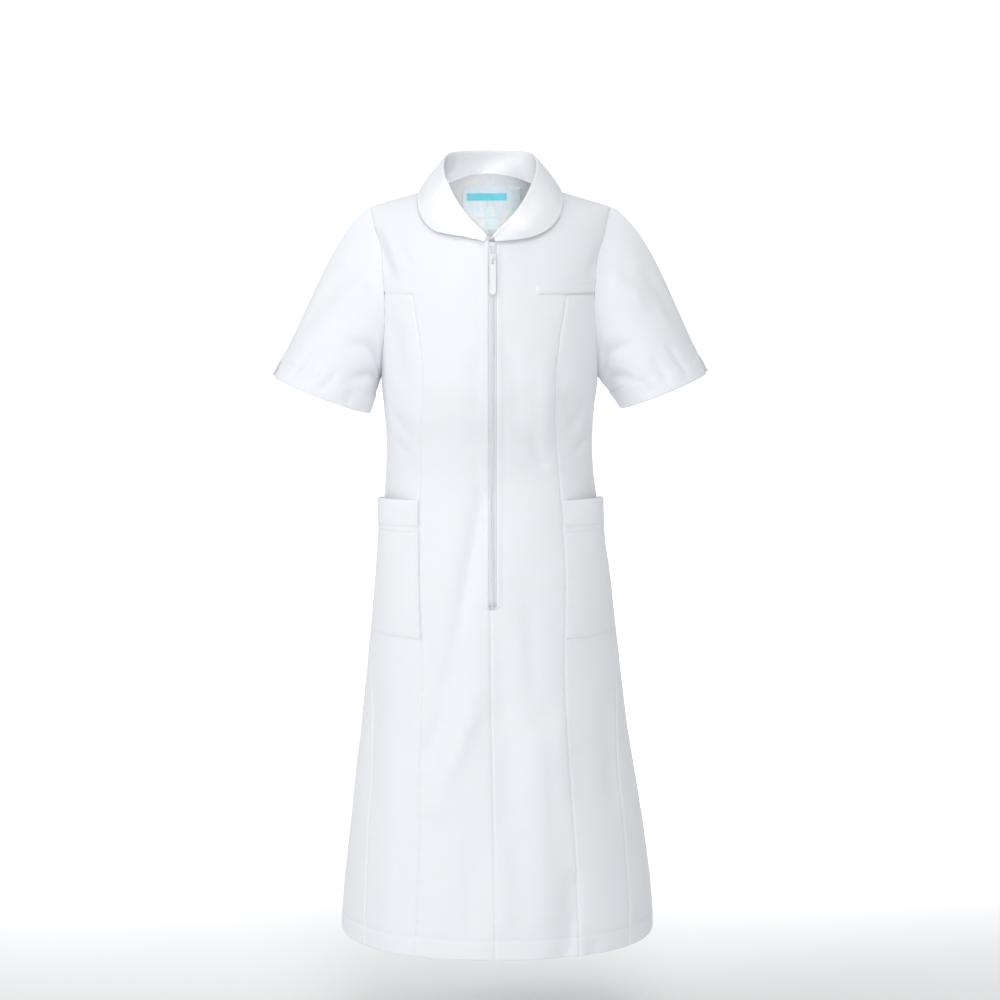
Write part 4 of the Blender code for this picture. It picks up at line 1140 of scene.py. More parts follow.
def welt_grid():
    """Welt of the slit pocket on the chest, plump and rounded at its edges."""
    length, height = WELT_OUTER_X - WELT_INNER_X, WELT_TOP_Z - WELT_BOTTOM_Z
    columns = spaced(length, 0.0026, (0.0, 0.0004, 0.0010, 0.0020), (0.0, 0.0004, 0.0010, 0.0020))
    rows = spaced(height, 0.0010, (0.0, 0.0004, 0.0010), (0.0, 0.0004, 0.0010))
    points, normals = strip_on_body(WELT_INNER_X, WELT_OUTER_X, WELT_TOP_Z, WELT_BOTTOM_Z,
                                    columns, rows)
    from_end = np.minimum(columns, 1.0 - columns)[None, :] * length
    from_side = np.minimum(rows, 1.0 - rows)[:, None] * height
    edge = np.minimum(from_end, from_side)
    relief = WELT_PROUD + WALL - 0.0009 * np.exp(-(edge / 0.0008) ** 2)
    relief = relief + stitch_groove(edge, 0.0022, 0.0003, 0.0008)
    return points + normals * relief[..., None], normals


# --- zip -------------------------------------------------------------------
TAPE_LEFT_X = 0.0145
TAPE_RIGHT_X = -0.0080
TAPE_WALL = 0.0010
BEHIND = 0.0018           # how far tape and labels lie behind the wall they are sewn to
SLIDER_TOP_Z = -0.0850
SLIDER_LENGTH = 0.0125
SLIDER_WIDTH = 0.0082
SLIDER_THICK = 0.0024
SLIDER_PROUD = 0.0018
BRIDGE_WIDTH = 0.0016
BRIDGE_REACH = 0.0042
BRIDGE_LENGTH = 0.0056
BRIDGE_HOLE = 0.0026
SLIDER_PLATE = 0.0008
# Half outline of the slider's plates in shares of its width and length, flared at the top.
SLIDER_HALF = ((0.0, 0.50), (0.26, 0.50), (0.44, 0.44), (0.50, 0.30), (0.50, 0.10), (0.44, -0.10),
               (0.37, -0.34), (0.33, -0.46), (0.24, -0.50), (0.0, -0.50))
PULL_WIDTH = 0.0085
PULL_LENGTH = 0.0480
PULL_THICK = 0.0014
PULL_BAR = 0.0012
PULL_WINDOW_WIDTH = 0.0032
PULL_WINDOW_LENGTH = 0.0070
PULL_SHOULDER = 0.0026
PULL_ARC_STEPS = 16
COIL_PITCH = 0.00135      # spacing of one side's coil elements
COIL_REACH = 0.0027       # how far an element reaches out from the middle
COIL_RADIUS = 0.00042
COIL_DEPTH = -0.0004      # front of the coil, behind the cloth's face
TAPE_SUNK = 0.0001        # how far the tape lies behind the cloth's face along the coil


def zip_middle():
    """Sideways place of the zip's coil."""
    return (ZIP_EDGE_LEFT_X + ZIP_EDGE_RIGHT_X) / 2


def zip_tape(finish):
    """Woven tape behind the front edges, a little thicker along the coil."""
    top, bottom = NECK_V_Z - 0.004, ZIP_END_Z - 0.010
    rows = heights_between(0.0, 1.0, 0.0042 / (top - bottom))
    columns = np.linspace(0.0, 1.0, 19)
    points, normals = strip_on_body(TAPE_RIGHT_X, TAPE_LEFT_X, top, bottom, columns, rows)
    x = columns[None, :] * (TAPE_LEFT_X - TAPE_RIGHT_X) + TAPE_RIGHT_X
    from_middle = np.abs(x - zip_middle())
    cord = 0.0003 * np.exp(-((from_middle - 0.0034) / 0.0007) ** 2)
    raised = (WALL + BEHIND - TAPE_SUNK) * (1.0 - smooth_step((from_middle - 0.0050) / 0.0005))
    raised = raised * smooth_step((points[..., 2] - ZIP_END_Z) / 0.004)
    points = points + normals * (cord + raised - WALL - BEHIND)[..., None]
    return cloth_shell("zip_tape_woven", [(points, normals)], TAPE_WALL, finish)


def coil_element(vertices, place, outward, along, side, opened):
    """Append the vertices of a nylon element, a bar that hooks round its end; give its faces."""
    sideways = unit(np.cross(outward, along)) * side
    rings = []
    for reach, lift, size in COIL_RINGS:
        centre = (place + sideways * (reach * COIL_REACH + opened) + outward * lift
                  + along * COIL_PITCH * 0.25 * side)
        rings.append(add_ring(vertices, centre, along * COIL_RADIUS * size,
                              outward * COIL_RADIUS * size, COIL_SIDES))
    return ring_faces(rings)


COIL_RINGS = (
    # share of the reach, lift, size
    (-0.34, -0.00020, 0.70),
    (-0.20, 0.00012, 1.00),
    (0.15, 0.00022, 0.92),
    (0.80, 0.00010, 0.92),
    (1.00, -0.00035, 0.85),
)


def zip_coil(finish):
    """Both sides' coils: meshed below the slider, parting above it."""
    vertices, faces = [], []
    slider_z = SLIDER_TOP_Z - SLIDER_LENGTH / 2
    heights = np.arange(ZIP_END_Z - 0.004, NECK_V_Z - 0.006, COIL_PITCH)
    points, normals = body_frame(*place_on_body(np.full(len(heights), zip_middle()), heights))
    along = unit(np.gradient(points, axis=0))
    outward = unit(normals - along * np.sum(normals * along, axis=-1, keepdims=True))
    opened = 0.0024 * smooth_step((heights - slider_z) / 0.016)
    places = points - outward * (COIL_DEPTH + COIL_RADIUS)
    for side in SIDES:
        for index in range(len(heights)):
            faces += coil_element(vertices, places[index], outward[index], along[index], side,
                                  opened[index])
    return mesh_object("zip_coil_elements", vertices, faces, finish, 60.0)


def zip_head():
    """Middle of the slider and its tilt, as the zip hangs over the chest."""
    middle_x, middle_z = zip_middle(), SLIDER_TOP_Z - SLIDER_LENGTH / 2
    middle = frame_point(middle_x, middle_z)
    below = frame_point(middle_x, middle_z - PULL_LENGTH)
    return (Vector((middle_x, middle[1], middle_z)),
            math.atan2(below[1] - middle[1], middle_z - below[2]))


def frame_point(x, height):
    """Point of the plainly folded surface in front, as in the packed model."""
    place = place_on_body(x, height)
    base = body_base(*place)
    return base + body_normal(*place) * deep_folds(base[[0, 2]], False)


def plain_box(shape, low, high):
    """Add a box to a bmesh and give its vertices."""
    made = bmesh.ops.create_cube(shape, size=1.0)["verts"]
    for vertex in made:
        for axis in range(3):
            vertex.co[axis] = mix(low[axis], high[axis], vertex.co[axis] + 0.5)
    return made


def rounded_box(shape, low, high, radius):
    """Add a box with rounded edges to a bmesh."""
    edges = list({edge for vertex in plain_box(shape, low, high) for edge in vertex.link_edges})
    bmesh.ops.bevel(shape, geom=edges, offset=radius, segments=3, profile=0.5, affect="EDGES")


def flat_plate(shape, outline, near, far):
    """Add a plate with an outline of (x, z), from one depth to another, to a bmesh."""
    face = shape.faces.new([shape.verts.new((x, near, z)) for x, z in outline])
    for element in bmesh.ops.extrude_face_region(shape, geom=[face])["geom"]:
        if isinstance(element, bmesh.types.BMVert):
            element.co.y = far


def place_on_zip(made):
    """Put a piece, built round the slider's middle, in its place on the zip."""
    location, tilt = zip_head()
    turn = Euler((tilt, 0.0, 0.0)).to_matrix().to_4x4()
    made.data.transform(Matrix.Translation(location) @ turn)
    return made


def zip_slider(finish):
    """Slider: two flared plates joined at the top, with the bridge that the pull hangs in."""
    shape = bmesh.new()
    outline = [(x * SLIDER_WIDTH, z * SLIDER_LENGTH)
               for x, z in SLIDER_HALF + tuple((-x, z) for x, z in SLIDER_HALF[-2:0:-1])]
    front, back = -SLIDER_PROUD, SLIDER_THICK - SLIDER_PROUD
    for near, far in ((front, front + SLIDER_PLATE), (back - SLIDER_PLATE, back)):
        flat_plate(shape, outline, near, far)
    rounded_box(shape, (-0.0009, front + 0.0004, 0.0020), (0.0009, back - 0.0004, 0.0052), 0.0003)
    half, bridge_front, end = BRIDGE_WIDTH / 2, front - BRIDGE_REACH, BRIDGE_LENGTH / 2
    for low_z, high_z in ((-end, -BRIDGE_HOLE / 2), (BRIDGE_HOLE / 2, end)):
        rounded_box(shape, (-half, bridge_front + 0.0006, low_z), (half, front + 0.0004, high_z),
                    0.0003)
    rounded_box(shape, (-half, bridge_front, -end), (half, front - BRIDGE_HOLE - 0.0001, end),
                0.0004)
    bmesh.ops.recalc_face_normals(shape, faces=shape.faces)
    made = place_on_zip(object_of("zip_slider_cast", shape, finish))
    soften(made, 0.00022)
    return made


def soften(made, width):
    """Bevel the hard edges of a cast piece and smooth it."""
    bevel = made.modifiers.new("Soft edges", "BEVEL")
    bevel.width = width
    bevel.segments = 2
    bevel.limit_method = "ANGLE"
    bevel.angle_limit = math.radians(35)
    made.data.shade_smooth()
    made.data.set_sharp_from_angle(angle=math.radians(40))


def zip_pull(finish):
    """Long flat pull tab with a rounded end, a window at its top and a sunk field."""
    half, top = PULL_WIDTH / 2, PULL_BAR / 2
    low, high = top - PULL_SHOULDER * 2.6, top - PULL_SHOULDER * 1.9
    angles = [math.pi * index / PULL_ARC_STEPS for index in range(PULL_ARC_STEPS + 1)]
    outline = [(math.cos(angle) * half, top - PULL_LENGTH + half - math.sin(angle) * half)
               for angle in angles]
    outline += [(-half, low), (-half * 0.93, high), (-PULL_SHOULDER, top), (PULL_SHOULDER, top),
                (half * 0.93, high), (half, low)]
    shape = bmesh.new()
    flat_plate(shape, outline, -PULL_THICK / 2, PULL_THICK / 2)
    bmesh.ops.recalc_face_normals(shape, faces=shape.faces)
    made = object_of("zip_pull_tab", shape, finish)
    window_top = -PULL_BAR / 2
    window_bottom = window_top - PULL_WINDOW_LENGTH
    cut(made, (-PULL_WINDOW_WIDTH / 2, -0.01, window_bottom),
        (PULL_WINDOW_WIDTH / 2, 0.01, window_top), 0.0007)
    cut(made, (-half + 0.0013, -0.01, top - PULL_LENGTH + 0.0034),
        (half - 0.0013, -PULL_THICK / 2 + 0.0003, window_bottom - 0.0022), 0.0009)
    made.data.transform(Matrix.Translation((0.0, -SLIDER_PROUD - BRIDGE_HOLE / 2, 0.0)))
    place_on_zip(made)
    soften(made, 0.0002)
    return made


def cut(target, low, high, radius):
    """Cut a box whose upright edges are rounded out of a piece, and apply the cut."""
    shape = bmesh.new()
    plain_box(shape, low, high)
    through = [edge for edge in shape.edges
               if abs(edge.verts[0].co.y - edge.verts[1].co.y) > 1e-6]
    bmesh.ops.bevel(shape, geom=through, offset=radius, segments=4, profile=0.5, affect="EDGES")
    tool = object_of("cutter", shape)
    modifier = target.modifiers.new("Cut", "BOOLEAN")
    modifier.operation = "DIFFERENCE"
    modifier.solver = "EXACT"
    modifier.object = tool
    bpy.context.view_layer.update()
    evaluated = target.evaluated_get(bpy.context.evaluated_depsgraph_get())
    shaped = bpy.data.meshes.new_from_object(evaluated)
    target.modifiers.clear()
    old = target.data
    target.data = shaped
    bpy.data.meshes.remove(old)
    bpy.data.objects.remove(tool, do_unlink=True)


# --- labels ----------------------------------------------------------------
NECK_LABEL = ("neck_label", -0.0390, 0.0415, -0.0010, -0.0410)
SIZE_LABEL = ("size_label", -0.0085, 0.0120, -0.0415, -0.0575)
LABEL_WALL = 0.0010


def label(place, finish):
    """Woven label inside the back neck, pulled in a little at its sewn edges."""
    name, left, right, top, bottom = place
    columns = spaced(right - left, 0.0022, (0.0, 0.0008, 0.0020), (0.0, 0.0008, 0.0020))
    rows = spaced(top - bottom, 0.0020, (0.0, 0.0008, 0.0020), (0.0, 0.0008, 0.0020))
    points, normals = strip_on_body(left, right, top, bottom, columns, rows, back=True)
    across, up = columns[None, :], rows[:, None]
    bow = 0.0007 * np.sin(np.pi * up) * (0.6 + 0.4 * np.sin(3.4 * np.pi * across + 0.5))
    points = points - normals * (WALL + BEHIND + bow)[..., None]
    return cloth_shell(name + "_woven", [(points, normals)], LABEL_WALL, finish)


# --- rows of stitching -----------------------------------------------------
STITCH_PROUD = 0.0001     # how far a row of stitches lies off the cloth
BAR_TACK_WIDTH = 0.0135
BAR_TACK_ROWS = 3
BAR_TACK_APART = 0.0007
BAR_TACK_PROUD = 0.0016
BAR_TACK_Z = ZIP_END_Z - 0.002


def row_from_edge(grid, distance, side_of_grid):
    """Row at a distance from one side of a grid: low, high (rows), near or far (columns)."""
    points, normals = grid
    if side_of_grid in ("near", "far"):
        points, normals = np.swapaxes(points, 0, 1), np.swapaxes(normals, 0, 1)
    if side_of_grid in ("high", "far"):
        points, normals = points[::-1], normals[::-1]
    length = arc_lengths(points, 0)
    places, facings = (np.array([read_along(distance, length[:, column], values[:, column])
                                 for column in range(points.shape[1])])
                       for values in (points, normals))
    facings = unit(facings)
    return places + facings * STITCH_PROUD, facings


def trimmed(row, keep):
    """The part of a row whose points pass a test."""
    points, normals = row
    kept = keep(points)
    return points[kept], normals[kept]


def bar_tack(x, height, width):
    """Short dense rows of stitches that hold the end of the zip."""
    made = []
    for row in range(BAR_TACK_ROWS):
        xs = np.linspace(x - width / 2, x + width / 2, 9)
        heights = np.full(len(xs), height + row * BAR_TACK_APART)
        points, normals = body_frame(*place_on_body(xs, heights))
        made.append((points + normals * BAR_TACK_PROUD, normals))
    return made


def all_stitch_rows():
    """Named rows of the whole dress, from the finished surfaces."""
    named = {}
    for side in SIDES:
        word = side_word(side)
        strip = front_centre_strip(side)
        yoke = front_yoke(side, strip)
        width = ZIP_FACING if side > 0 else ZIP_WELT
        named["stitches_front_edge_" + word] = [
            trimmed(row_from_edge(strip, width, "near"), lambda p: p[:, 2] > ZIP_END_Z),
            trimmed(row_from_edge(yoke, width, "near"), lambda p: p[:, 2] < NECK_V_Z - 0.010)]
        named["stitches_hem_front_" + word] = [row_from_edge(strip, HEM_DEPTH, "low"),
                                               row_from_edge(side_grid(side), HEM_DEPTH, "low")]
        named["stitches_hem_back_" + word] = [row_from_edge(back_grid(side), HEM_DEPTH, "low")]
        named["stitches_chest_seam_" + word] = [
            trimmed(row_from_edge(yoke, 0.0016, "low"),
                    lambda p: np.abs(p[:, 0]) > PRINCESS_TOP_X)]
        named["stitches_sleeve_hem_" + word] = [
            row_from_edge(sleeve_grid(side), SLEEVE_HEM, "high")]
        pocket = pocket_grid(side)
        named["stitches_pocket_" + word] = (
            [row_from_edge(pocket, place, "high") for place in POCKET_STITCHES]
            + [row_from_edge(pocket, 0.0022, edge) for edge in ("low", "near", "far")])
    named["stitches_chest_welt"] = [row_from_edge(welt_grid(), 0.0020, edge)
                                    for edge in ("low", "near", "far")]
    named["stitches_zip_end"] = bar_tack(zip_middle(), BAR_TACK_Z, BAR_TACK_WIDTH)
    return named.items()


# --- finishes --------------------------------------------------------------
def new_material(name):
    """Empty node material with its principled shader and output."""
    made = bpy.data.materials.new(name)
    made.use_nodes = True
    tree = made.node_tree
    return made, tree, tree.nodes["Principled BSDF"]


def add_node(tree, kind, inputs=None, **settings):
    """Node of a kind with its settings. Each input is a value, or a socket to link."""
    node = tree.nodes.new(kind)
    for name, value in settings.items():
        setattr(node, name, value)
    for name, value in (inputs or {}).items():
        if isinstance(value, bpy.types.NodeSocket):
            tree.links.new(value, node.inputs[name])
        else:
            node.inputs[name].default_value = value
    return node


def place_input(tree, slant=0.0):
    """Place on the piece in metres, turned by a slant in degrees about the front's direction."""
    source = add_node(tree, "ShaderNodeTexCoord")
    return add_node(tree, "ShaderNodeMapping", {"Vector": source.outputs["Object"],
                                                "Rotation": (0.0, math.radians(slant), 0.0)},
                    vector_type="POINT").outputs["Vector"]


def noise(tree, vector, scale, detail=2.0):
    """Noise value at a place."""
    return add_node(tree, "ShaderNodeTexNoise", {"Vector": vector, "Scale": scale, "Detail": detail,
                                                 "Roughness": 0.5}).outputs["Fac"]


def wave(tree, vector, scale, direction, distortion=0.0):
    """Stripes across one direction."""
    return add_node(tree, "ShaderNodeTexWave",
                    {"Vector": vector, "Scale": scale, "Distortion": distortion, "Detail": 1.0},
                    wave_type="BANDS", bands_direction=direction, wave_profile="SIN").outputs["Fac"]


def combine(tree, operation, first, second):
    """Arithmetic of two values, each a socket or a number."""
    return add_node(tree, "ShaderNodeMath", {0: first, 1: second}, operation=operation).outputs[0]


def weighted(tree, first, first_share, second, second_share):
    """Sum of two values, each brought to its share."""
    return combine(tree, "ADD", combine(tree, "MULTIPLY", first, first_share),
                   combine(tree, "MULTIPLY", second, second_share))


def stretch(tree, value, low, high):
    """A value from 0..1 brought to another range."""
    return add_node(tree, "ShaderNodeMapRange",
                    {"Value": value, "To Min": low, "To Max": high}).outputs["Result"]


def blend_colours(tree, value, first, second):
    """Colour between two, by a value. The first may be a socket."""
    node = add_node(tree, "ShaderNodeMix", {"Factor": value}, data_type="RGBA")
    sockets = [socket for socket in node.inputs if socket.type == "RGBA"]
    if isinstance(first, bpy.types.NodeSocket):
        tree.links.new(first, sockets[0])
    else:
        sockets[0].default_value = first
    sockets[1].default_value = second
    return next(socket for socket in node.outputs if socket.type == "RGBA")


def bump(tree, shader, layers):
    """Chain of bump nodes, each from a height value with its strength and distance."""
    normal = None
    for height, strength, distance in layers:
        inputs = {"Height": height, "Strength": strength, "Distance": distance}
        if normal is not None:
            inputs["Normal"] = normal
        normal = add_node(tree, "ShaderNodeBump", inputs).outputs["Normal"]
    tree.links.new(normal, shader.inputs["Normal"])


def paint(tree, shader, value, first, second):
    """Give the shader a colour between two, by a value."""
    tree.links.new(blend_colours(tree, value, first, second), shader.inputs["Base Color"])


def set_finish(shader, roughness, sheen=0.0, specular=0.5, sheen_roughness=0.5, subsurface=0.0):
    """Constant values of a shader's own sockets."""
    values = {"Roughness": roughness, "Metallic": 0.0, "Sheen Weight": sheen,
              "Sheen Roughness": sheen_roughness, "Specular IOR Level": specular,
              "Subsurface Weight": subsurface, "Subsurface Radius": (0.006, 0.006, 0.0065),
              "Subsurface Scale": 0.6}
    for name, value in values.items():
        shader.inputs[name].default_value = value


def twill_cloth(name, colour, shade, threads_per_metre, sheen):
    """Fine matte twill: slanting ribs over crossed threads, with slight changes of tone."""
    made, tree, shader = new_material(name)
    place = place_input(tree)
    cloudy = noise(tree, place, 14.0, 3.0)
    fine = noise(tree, place, 420.0, 2.0)
    paint(tree, shader, weighted(tree, cloudy, 0.7, fine, 0.3), colour, shade)
    set_finish(shader, 0.82, sheen, 0.28, 0.45, 0.10)
    tree.links.new(stretch(tree, fine, 0.76, 0.88), shader.inputs["Roughness"])
    ribs = wave(tree, place_input(tree, 27.0), threads_per_metre / 20.0, "X", 0.4)
    warp = wave(tree, place, threads_per_metre / 9.0, "X")
    weft = wave(tree, place, threads_per_metre / 11.0, "Z")
    weave = combine(tree, "MULTIPLY", warp, weft)
    bump(tree, shader, [(cloudy, 0.10, 0.004), (ribs, 0.22, 0.00012), (weave, 0.25, 0.00006),
                        (fine, 0.12, 0.0002)])
    return made


def thread(name, colour, shade):
    """Twisted polyester thread with a soft gloss."""
    made, tree, shader = new_material(name)
    paint(tree, shader, noise(tree, place_input(tree), 900.0), colour, shade)
    set_finish(shader, 0.5, 0.15, 0.4)
    bump(tree, shader, [(wave(tree, place_input(tree, 38.0), 700.0, "X"), 0.3, 0.00006)])
    return made


def woven_tape(name, colour, shade):
    """Zip tape: a herringbone of fine threads."""
    made, tree, shader = new_material(name)
    herring = combine(tree, "MULTIPLY", *(wave(tree, place_input(tree, slant), 240.0, "X")
                                          for slant in (40.0, -40.0)))
    value = weighted(tree, herring, 0.6, noise(tree, place_input(tree), 300.0), 0.4)
    paint(tree, shader, value, shade, colour)
    set_finish(shader, 0.72, 0.15, 0.3)
    bump(tree, shader, [(herring, 0.35, 0.00010)])
    return made


def nylon(name, colour, shade):
    """Moulded nylon of the coil: even, slightly glossy, a touch see-through."""
    made, tree, shader = new_material(name)
    place = place_input(tree)
    paint(tree, shader, noise(tree, place, 160.0), colour, shade)
    set_finish(shader, 0.36, 0.0, 0.5, 0.5, 0.08)
    tree.links.new(stretch(tree, noise(tree, place, 500.0), 0.30, 0.42), shader.inputs["Roughness"])
    bump(tree, shader, [(noise(tree, place, 1400.0), 0.08, 0.00006)])
    return made


def painted_metal(name, colour, shade):
    """Cast zinc under white paint: glossy, with a slight orange peel and worn edges."""
    made, tree, shader = new_material(name)
    place = place_input(tree)
    geometry = add_node(tree, "ShaderNodeNewGeometry")
    edge = stretch(tree, geometry.outputs["Pointiness"], 0.0, 1.0)
    edge.node.inputs["From Min"].default_value = 0.50
    edge.node.inputs["From Max"].default_value = 0.62
    paint(tree, shader, weighted(tree, noise(tree, place, 260.0), 0.6, edge, 0.25), colour, shade)
    set_finish(shader, 0.32, 0.0, 0.5)
    tree.links.new(stretch(tree, noise(tree, place, 700.0), 0.24, 0.40), shader.inputs["Roughness"])
    bump(tree, shader, [(noise(tree, place, 900.0, 1.0), 0.10, 0.0001)])
    return made


def woven_label(name, ground, shade, band=None, limits=()):
    """Satin label of fine crosswise threads, with a plain woven band if it has a colour."""
    made, tree, shader = new_material(name)
    place = place_input(tree)
    value = weighted(tree, noise(tree, place, 60.0), 0.6, noise(tree, place, 900.0), 0.4)
    colour = blend_colours(tree, value, ground, shade)
    if band:
        split = add_node(tree, "ShaderNodeSeparateXYZ", {0: place})
        uneven = combine(tree, "SUBTRACT", noise(tree, place, 1500.0), 0.5)
        ragged = combine(tree, "MULTIPLY", uneven, 0.0012)
        inside = stretch(tree, value, 0.75, 1.0)
        for axis, limit, sign in limits:
            offset = combine(tree, "MULTIPLY",
                             combine(tree, "SUBTRACT", split.outputs[axis], limit), sign)
            ramp = combine(tree, "MULTIPLY", combine(tree, "ADD", offset, ragged), 1600.0)
            kept = add_node(tree, "ShaderNodeClamp", {"Value": ramp}).outputs["Result"]
            inside = combine(tree, "MULTIPLY", inside, kept)
        colour = blend_colours(tree, inside, colour, band)
    tree.links.new(colour, shader.inputs["Base Color"])
    set_finish(shader, 0.5, 0.2, 0.4)
    bump(tree, shader, [(wave(tree, place, 260.0, "Z"), 0.25, 0.00008),
                        (noise(tree, place, 700.0), 0.15, 0.0001)])
    return made


def floor_finish(name, colour):
    """Plain matte studio floor."""
    made, tree, shader = new_material(name)
    paint(tree, shader, noise(tree, place_input(tree), 2.0), colour, dimmer(colour, 0.985))
    set_finish(shader, 0.9, 0.0, 0.1)
    return made


# --- cuts: the flat size of what shows of the labels -------------------------------------
# Width and length of the rectangle round each label, and the share of it that it fills.
NECK_LABEL_CUT = (0.083, 0.041, 1.0)
SIZE_LABEL_CUT = (0.021, 0.016, 1.0)
BAND_LEFT_X = -0.0320
BAND_RIGHT_X = 0.0220
PRINCESS_TOP_X = 0.100


# --- stage -----------------------------------------------------------------
CAMERA_PLACE = (0.0126, -3.853, 0.030)
CAMERA_AIM = (0.0126, 0.0, -0.415)
KEY_PLACE = (-3.1, -1.8, 1.1)
KEY_SIZE = 2.4
FILL_PLACE = (0.2, -3.7, 0.5)
FILL_SIZE = 1.0
TOP_PLACE = (0.15, -1.5, 1.8)
TOP_SIZE = 1.0
NECK_PLACE = (0.0, -2.4, 0.35)
NECK_AIM = (-0.003, 0.03, -0.026)
NECK_SIZE = 0.03
NECK_SPREAD = math.radians(3.4)
BACKDROP_PLACE = (0.0, 2.2, 2.2)
BACKDROP_SIZE = 4.0
BACKDROP_TURN = (math.radians(56.0), 0.0, 0.0)
LIGHT_AIM = (0.0, 0.0, -0.45)
AIR_COLOUR = (0.97, 0.985, 1.0, 1.0)
SENSOR_WIDTH = 36.0       # of the camera, in millimetres
FLOOR_HALF = 9.0          # half width of the studio paper
FLOOR_FAR = 5.0           # where its curve up begins, behind the dress
FLOOR_CURVE = 2.0         # radius of the curve
FLOOR_RISE = 7.0
FLOOR_STEPS = 12


def turned_to(place, aim):
    """Turn of a lamp or camera at a place that looks at an aim."""
    return (Vector(aim) - Vector(place)).to_track_quat("-Z", "Y").to_euler()


def soft_light(name, place, size, power, aim=LIGHT_AIM):
    """Square area light that faces the dress."""
    lamp = bpy.data.lights.new(name, "AREA")
    lamp.shape = "SQUARE"
    lamp.size = size
    lamp.energy = power
    made = link(bpy.data.objects.new(name, lamp))
    made.location = place
    made.rotation_euler = turned_to(place, aim)
    return made


def stage(context):
    """Floor with a soft curve up behind, even light, a large key from the side and the camera."""
    look = context.scene.dress_stage
    ground = HEM_Z - look.floor_drop
    shape = bmesh.new()
    profile = [(-FLOOR_HALF, ground)]
    for step in range(FLOOR_STEPS + 1):
        angle = math.pi / 2 * step / FLOOR_STEPS
        profile.append((FLOOR_FAR + FLOOR_CURVE * math.sin(angle),
                        ground + FLOOR_CURVE * (1.0 - math.cos(angle))))
    profile.append((FLOOR_FAR + FLOOR_CURVE, ground + FLOOR_RISE))
    left, right = ([shape.verts.new((x, y, z)) for y, z in profile]
                   for x in (-FLOOR_HALF, FLOOR_HALF))
    for index in range(len(profile) - 1):
        shape.faces.new((left[index], right[index], right[index + 1], left[index + 1]))
    paper = floor_finish("studio_paper", tuple(look.floor_colour))
    floor = object_of("studio_floor", shape, paper)
    floor.data.shade_smooth()

    soft_light("key_light", KEY_PLACE, KEY_SIZE, look.key_power)
    soft_light("fill_light", FILL_PLACE, FILL_SIZE, look.fill_power)
    soft_light("top_light", TOP_PLACE, TOP_SIZE, look.top_power)
    neck = soft_light("neck_light", NECK_PLACE, NECK_SIZE, look.neck_power, NECK_AIM)
    neck.data.spread = NECK_SPREAD
    backdrop = soft_light("backdrop_light", BACKDROP_PLACE, BACKDROP_SIZE, look.backdrop_power)
    backdrop.rotation_euler = BACKDROP_TURN
    backdrop.visible_camera = False
    world = bpy.data.worlds.new("studio_air")
    world.use_nodes = True
    background = world.node_tree.nodes["Background"]
    background.inputs["Color"].default_value = AIR_COLOUR
    background.inputs["Strength"].default_value = look.ambient
    context.scene.world = world
    context.scene.view_settings.view_transform = "Standard"

    camera = bpy.data.cameras.new("camera")
    camera.lens = look.lens
    camera.sensor_width = SENSOR_WIDTH
    made = link(bpy.data.objects.new("camera", camera))
    made.location = CAMERA_PLACE
    made.rotation_euler = turned_to(CAMERA_PLACE, CAMERA_AIM)
    context.scene.camera = made


# --- settings that a user would change -------------------------------------
COLOUR = {"subtype": "COLOR", "size": 4, "min": 0.0, "max": 1.0}


class DressClothSettings(bpy.types.PropertyGroup):
    """Cloth of the dress."""
    colour: FloatVectorProperty(name="Cloth colour", description="Colour of the cloth",
                                default=(0.86, 0.875, 0.90, 1.0), **COLOUR)
    shade: FloatVectorProperty(name="Cloth shade", description="Slightly darker tone in the cloth",
                               default=(0.83, 0.85, 0.885, 1.0), **COLOUR)
    threads: FloatProperty(name="Threads per metre", description="Threads of the twill per metre",
                           default=4200.0, min=500.0, max=12000.0)
    sheen: FloatProperty(name="Sheen", description="Soft sheen of the cloth's fibres",
                         default=0.12, min=0.0, max=1.0, subtype="FACTOR")


class DressStitchSettings(bpy.types.PropertyGroup):
    """Sewing thread."""
    colour: FloatVectorProperty(name="Thread colour", description="Colour of the sewing thread",
                                default=(0.88, 0.89, 0.91, 1.0), **COLOUR)
    length: FloatProperty(name="Stitch length", description="Length of one stitch",
                          default=0.0024, min=0.001, max=0.006, unit="LENGTH")
    gap: FloatProperty(name="Stitch gap", description="Gap between two stitches",
                       default=0.0007, min=0.0002, max=0.004, unit="LENGTH")
    radius: FloatProperty(name="Thread radius", description="Half the thread's thickness",
                          default=0.00026, min=0.0001, max=0.001, unit="LENGTH")


class DressZipSettings(bpy.types.PropertyGroup):
    """Zip and its pull tab."""
    coil_colour: FloatVectorProperty(name="Coil colour", description="Colour of the nylon coil",
                                     default=(0.80, 0.82, 0.85, 1.0), **COLOUR)
    tape_colour: FloatVectorProperty(name="Tape colour", description="Colour of the woven tape",
                                     default=(0.80, 0.82, 0.86, 1.0), **COLOUR)
    pull_colour: FloatVectorProperty(name="Pull colour", description="Colour of slider and pull",
                                     default=(0.82, 0.84, 0.86, 1.0), **COLOUR)


class DressLabelSettings(bpy.types.PropertyGroup):
    """Labels inside the back neck."""
    ground: FloatVectorProperty(name="Label colour", description="Ground colour of the labels",
                                default=(0.84, 0.95, 1.0, 1.0), **COLOUR)
    band: FloatVectorProperty(name="Band colour", description="Colour of the plain woven band",
                              default=(0.09, 0.66, 0.80, 1.0), **COLOUR)
    band_top: FloatProperty(name="Band top", description="Height of the band's upper edge",
                            default=-0.0095, unit="LENGTH")
    band_bottom: FloatProperty(name="Band bottom", description="Height of the band's lower edge",
                               default=-0.0200, unit="LENGTH")


